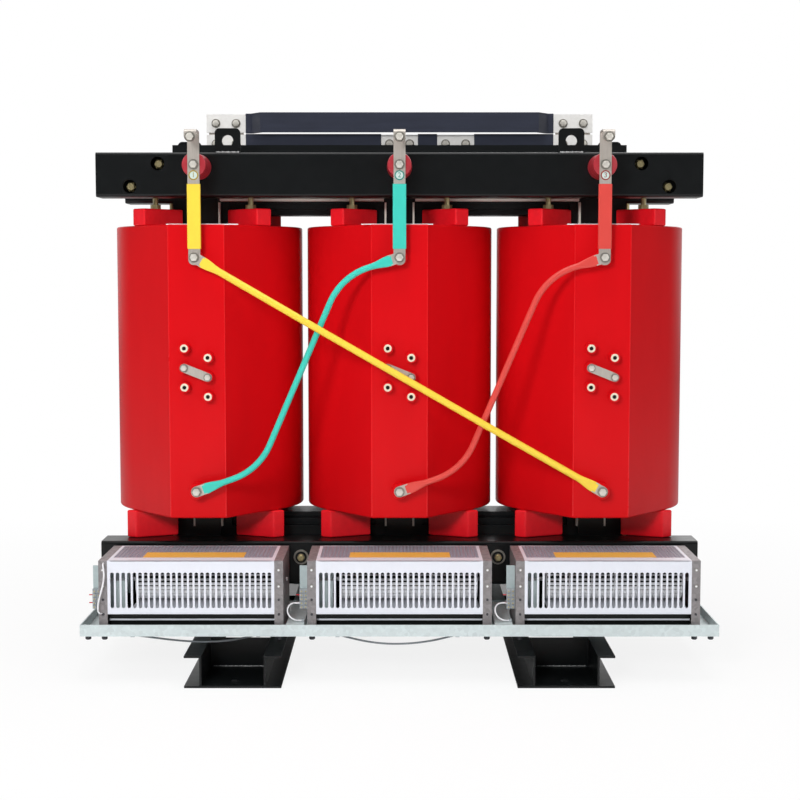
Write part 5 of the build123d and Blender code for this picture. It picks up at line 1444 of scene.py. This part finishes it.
def add_floor(scene):
    """Lays the pale floor, which fades into the white round it."""
    material = bpy.data.materials.new("Pale studio floor")
    material.use_nodes = True
    tree = material.node_tree
    tree.nodes.clear()
    seen = add(tree, "ShaderNodeLightPath")
    away = add(tree, "ShaderNodeVectorMath", {".operation": "LENGTH"},
               {0: add(tree, "ShaderNodeTexCoord").outputs["Object"]})
    fade = add(tree, "ShaderNodeMapRange", FLOOR_FADE, {"Value": away.outputs["Value"]})
    share = add(tree, "ShaderNodeMath", {".operation": "MULTIPLY"},
                {0: seen.outputs["Is Camera Ray"], 1: fade.outputs[0]})
    paper = add(tree, "ShaderNodeBsdfDiffuse", {"Color": FLOOR_SHADE})
    glow = add(tree, "ShaderNodeEmission", {"Color": WHITE, "Strength": 1.0})
    lit = add(tree, "ShaderNodeMixShader", links={
        0: share.outputs[0], 1: paper.outputs[0], 2: glow.outputs[0]})
    add(tree, "ShaderNodeOutputMaterial", links={"Surface": lit.outputs[0]})
    data = bpy.data.meshes.new("studio_floor")
    data.from_pydata([(-FLOOR_REACH, -FLOOR_REACH, 0), (FLOOR_REACH, -FLOOR_REACH, 0),
                      (FLOOR_REACH, FLOOR_REACH, 0), (-FLOOR_REACH, FLOOR_REACH, 0)],
                     [], [(0, 1, 2, 3)])
    data.materials.append(material)
    floor = bpy.data.objects.new("studio_floor", data)
    scene.collection.objects.link(floor)


def light_world(scene):
    """A studio that is white to the camera and soft to everything else."""
    world = scene.world or bpy.data.worlds.new("Studio")
    scene.world = world
    world.use_nodes = True
    tree = world.node_tree
    tree.nodes.clear()
    seen = add(tree, "ShaderNodeLightPath")
    way = add(tree, "ShaderNodeSeparateXYZ",
              links={0: add(tree, "ShaderNodeTexCoord").outputs["Generated"]})
    level = add(tree, "ShaderNodeMapRange", STUDIO_LEVELS, {"Value": way.outputs[2]})
    # Bright metal and enamel also mirror the white backdrop behind the object.
    behind = add(tree, "ShaderNodeMapRange", BACKDROP_LEVELS, {"Value": way.outputs[1]})
    mirrored = add(tree, "ShaderNodeMath", {".operation": "MULTIPLY"},
                   {0: behind.outputs[0], 1: seen.outputs["Is Glossy Ray"]})
    strength = add(tree, "ShaderNodeMath", {".operation": "MAXIMUM"},
                   {0: level.outputs[0], 1: mirrored.outputs[0]})
    soft = add(tree, "ShaderNodeBackground", {"Color": WHITE}, {"Strength": strength.outputs[0]})
    white = add(tree, "ShaderNodeBackground", {"Color": WHITE, "Strength": 1.0})
    shown = add(tree, "ShaderNodeMath", {".operation": "MAXIMUM"},
                {0: seen.outputs["Is Camera Ray"], 1: seen.outputs["Is Transmission Ray"]})
    mixed = add(tree, "ShaderNodeMixShader", links={
        0: shown.outputs[0], 1: soft.outputs[0], 2: white.outputs[0]})
    add(tree, "ShaderNodeOutputWorld", links={"Surface": mixed.outputs[0]})


def set_camera(scene):
    """Stands the camera in front."""
    camera = bpy.data.cameras.new("camera")
    camera.lens = CAMERA_LENS
    camera.sensor_width = CAMERA_SENSOR
    eye = bpy.data.objects.new("camera", camera)
    eye.location = CAMERA_PLACE
    eye.rotation_euler = (math.radians(CAMERA_TILT), 0, 0)
    scene.collection.objects.link(eye)
    scene.camera = eye


class TRANSFORMER_OT_stage(bpy.types.Operator):
    """Sets up the pale floor, the soft lights, the world and the camera"""

    bl_idname = "transformer.stage"
    bl_label = "Stage"

    def execute(self, context):
        add_floor(context.scene)
        add_lamps(context.scene)
        light_world(context.scene)
        set_camera(context.scene)
        context.scene.view_settings.view_transform = "Standard"
        return {"FINISHED"}


OPERATORS = (
    TRANSFORMER_OT_finishes, TRANSFORMER_OT_stage, TRANSFORMER_OT_cords, TRANSFORMER_OT_coils,
    TRANSFORMER_OT_taps, TRANSFORMER_OT_links, TRANSFORMER_OT_insulators, TRANSFORMER_OT_blocks,
    TRANSFORMER_OT_fasteners, TRANSFORMER_OT_marks, TRANSFORMER_OT_covers,
    TRANSFORMER_OT_impellers, TRANSFORMER_OT_terminals, TRANSFORMER_OT_boards,
    TRANSFORMER_OT_welds,
)


class TRANSFORMER_PT_panel(bpy.types.Panel):
    """Lists the sizes, the colours and the steps that make the transformer's looks"""

    bl_label = "Dry-type transformer"
    bl_space_type = "VIEW_3D"
    bl_region_type = "UI"
    bl_category = "Transformer"

    def draw(self, context):
        for group in (context.scene.transformer_sizes, context.scene.transformer_colours):
            for key in group.__annotations__:
                self.layout.prop(group, key)
        for operator in OPERATORS:
            self.layout.operator(operator.bl_idname)


def register():
    """Registers the properties, the steps and the panel."""
    for item in (TransformerSizes, TransformerColours, *OPERATORS, TRANSFORMER_PT_panel):
        bpy.utils.register_class(item)
    bpy.types.Scene.transformer_sizes = bpy.props.PointerProperty(type=TransformerSizes)
    bpy.types.Scene.transformer_colours = bpy.props.PointerProperty(type=TransformerColours)


def unregister():
    """Removes the properties, the steps and the panel."""
    del bpy.types.Scene.transformer_colours
    del bpy.types.Scene.transformer_sizes
    for item in (TRANSFORMER_PT_panel, *reversed(OPERATORS), TransformerColours, TransformerSizes):
        bpy.utils.unregister_class(item)


def main():
    """Makes every piece."""
    register()
    for operator in OPERATORS:
        group, step = operator.bl_idname.split(".")
        getattr(getattr(bpy.ops, group), step)()


if __name__ == "__main__":
    main()
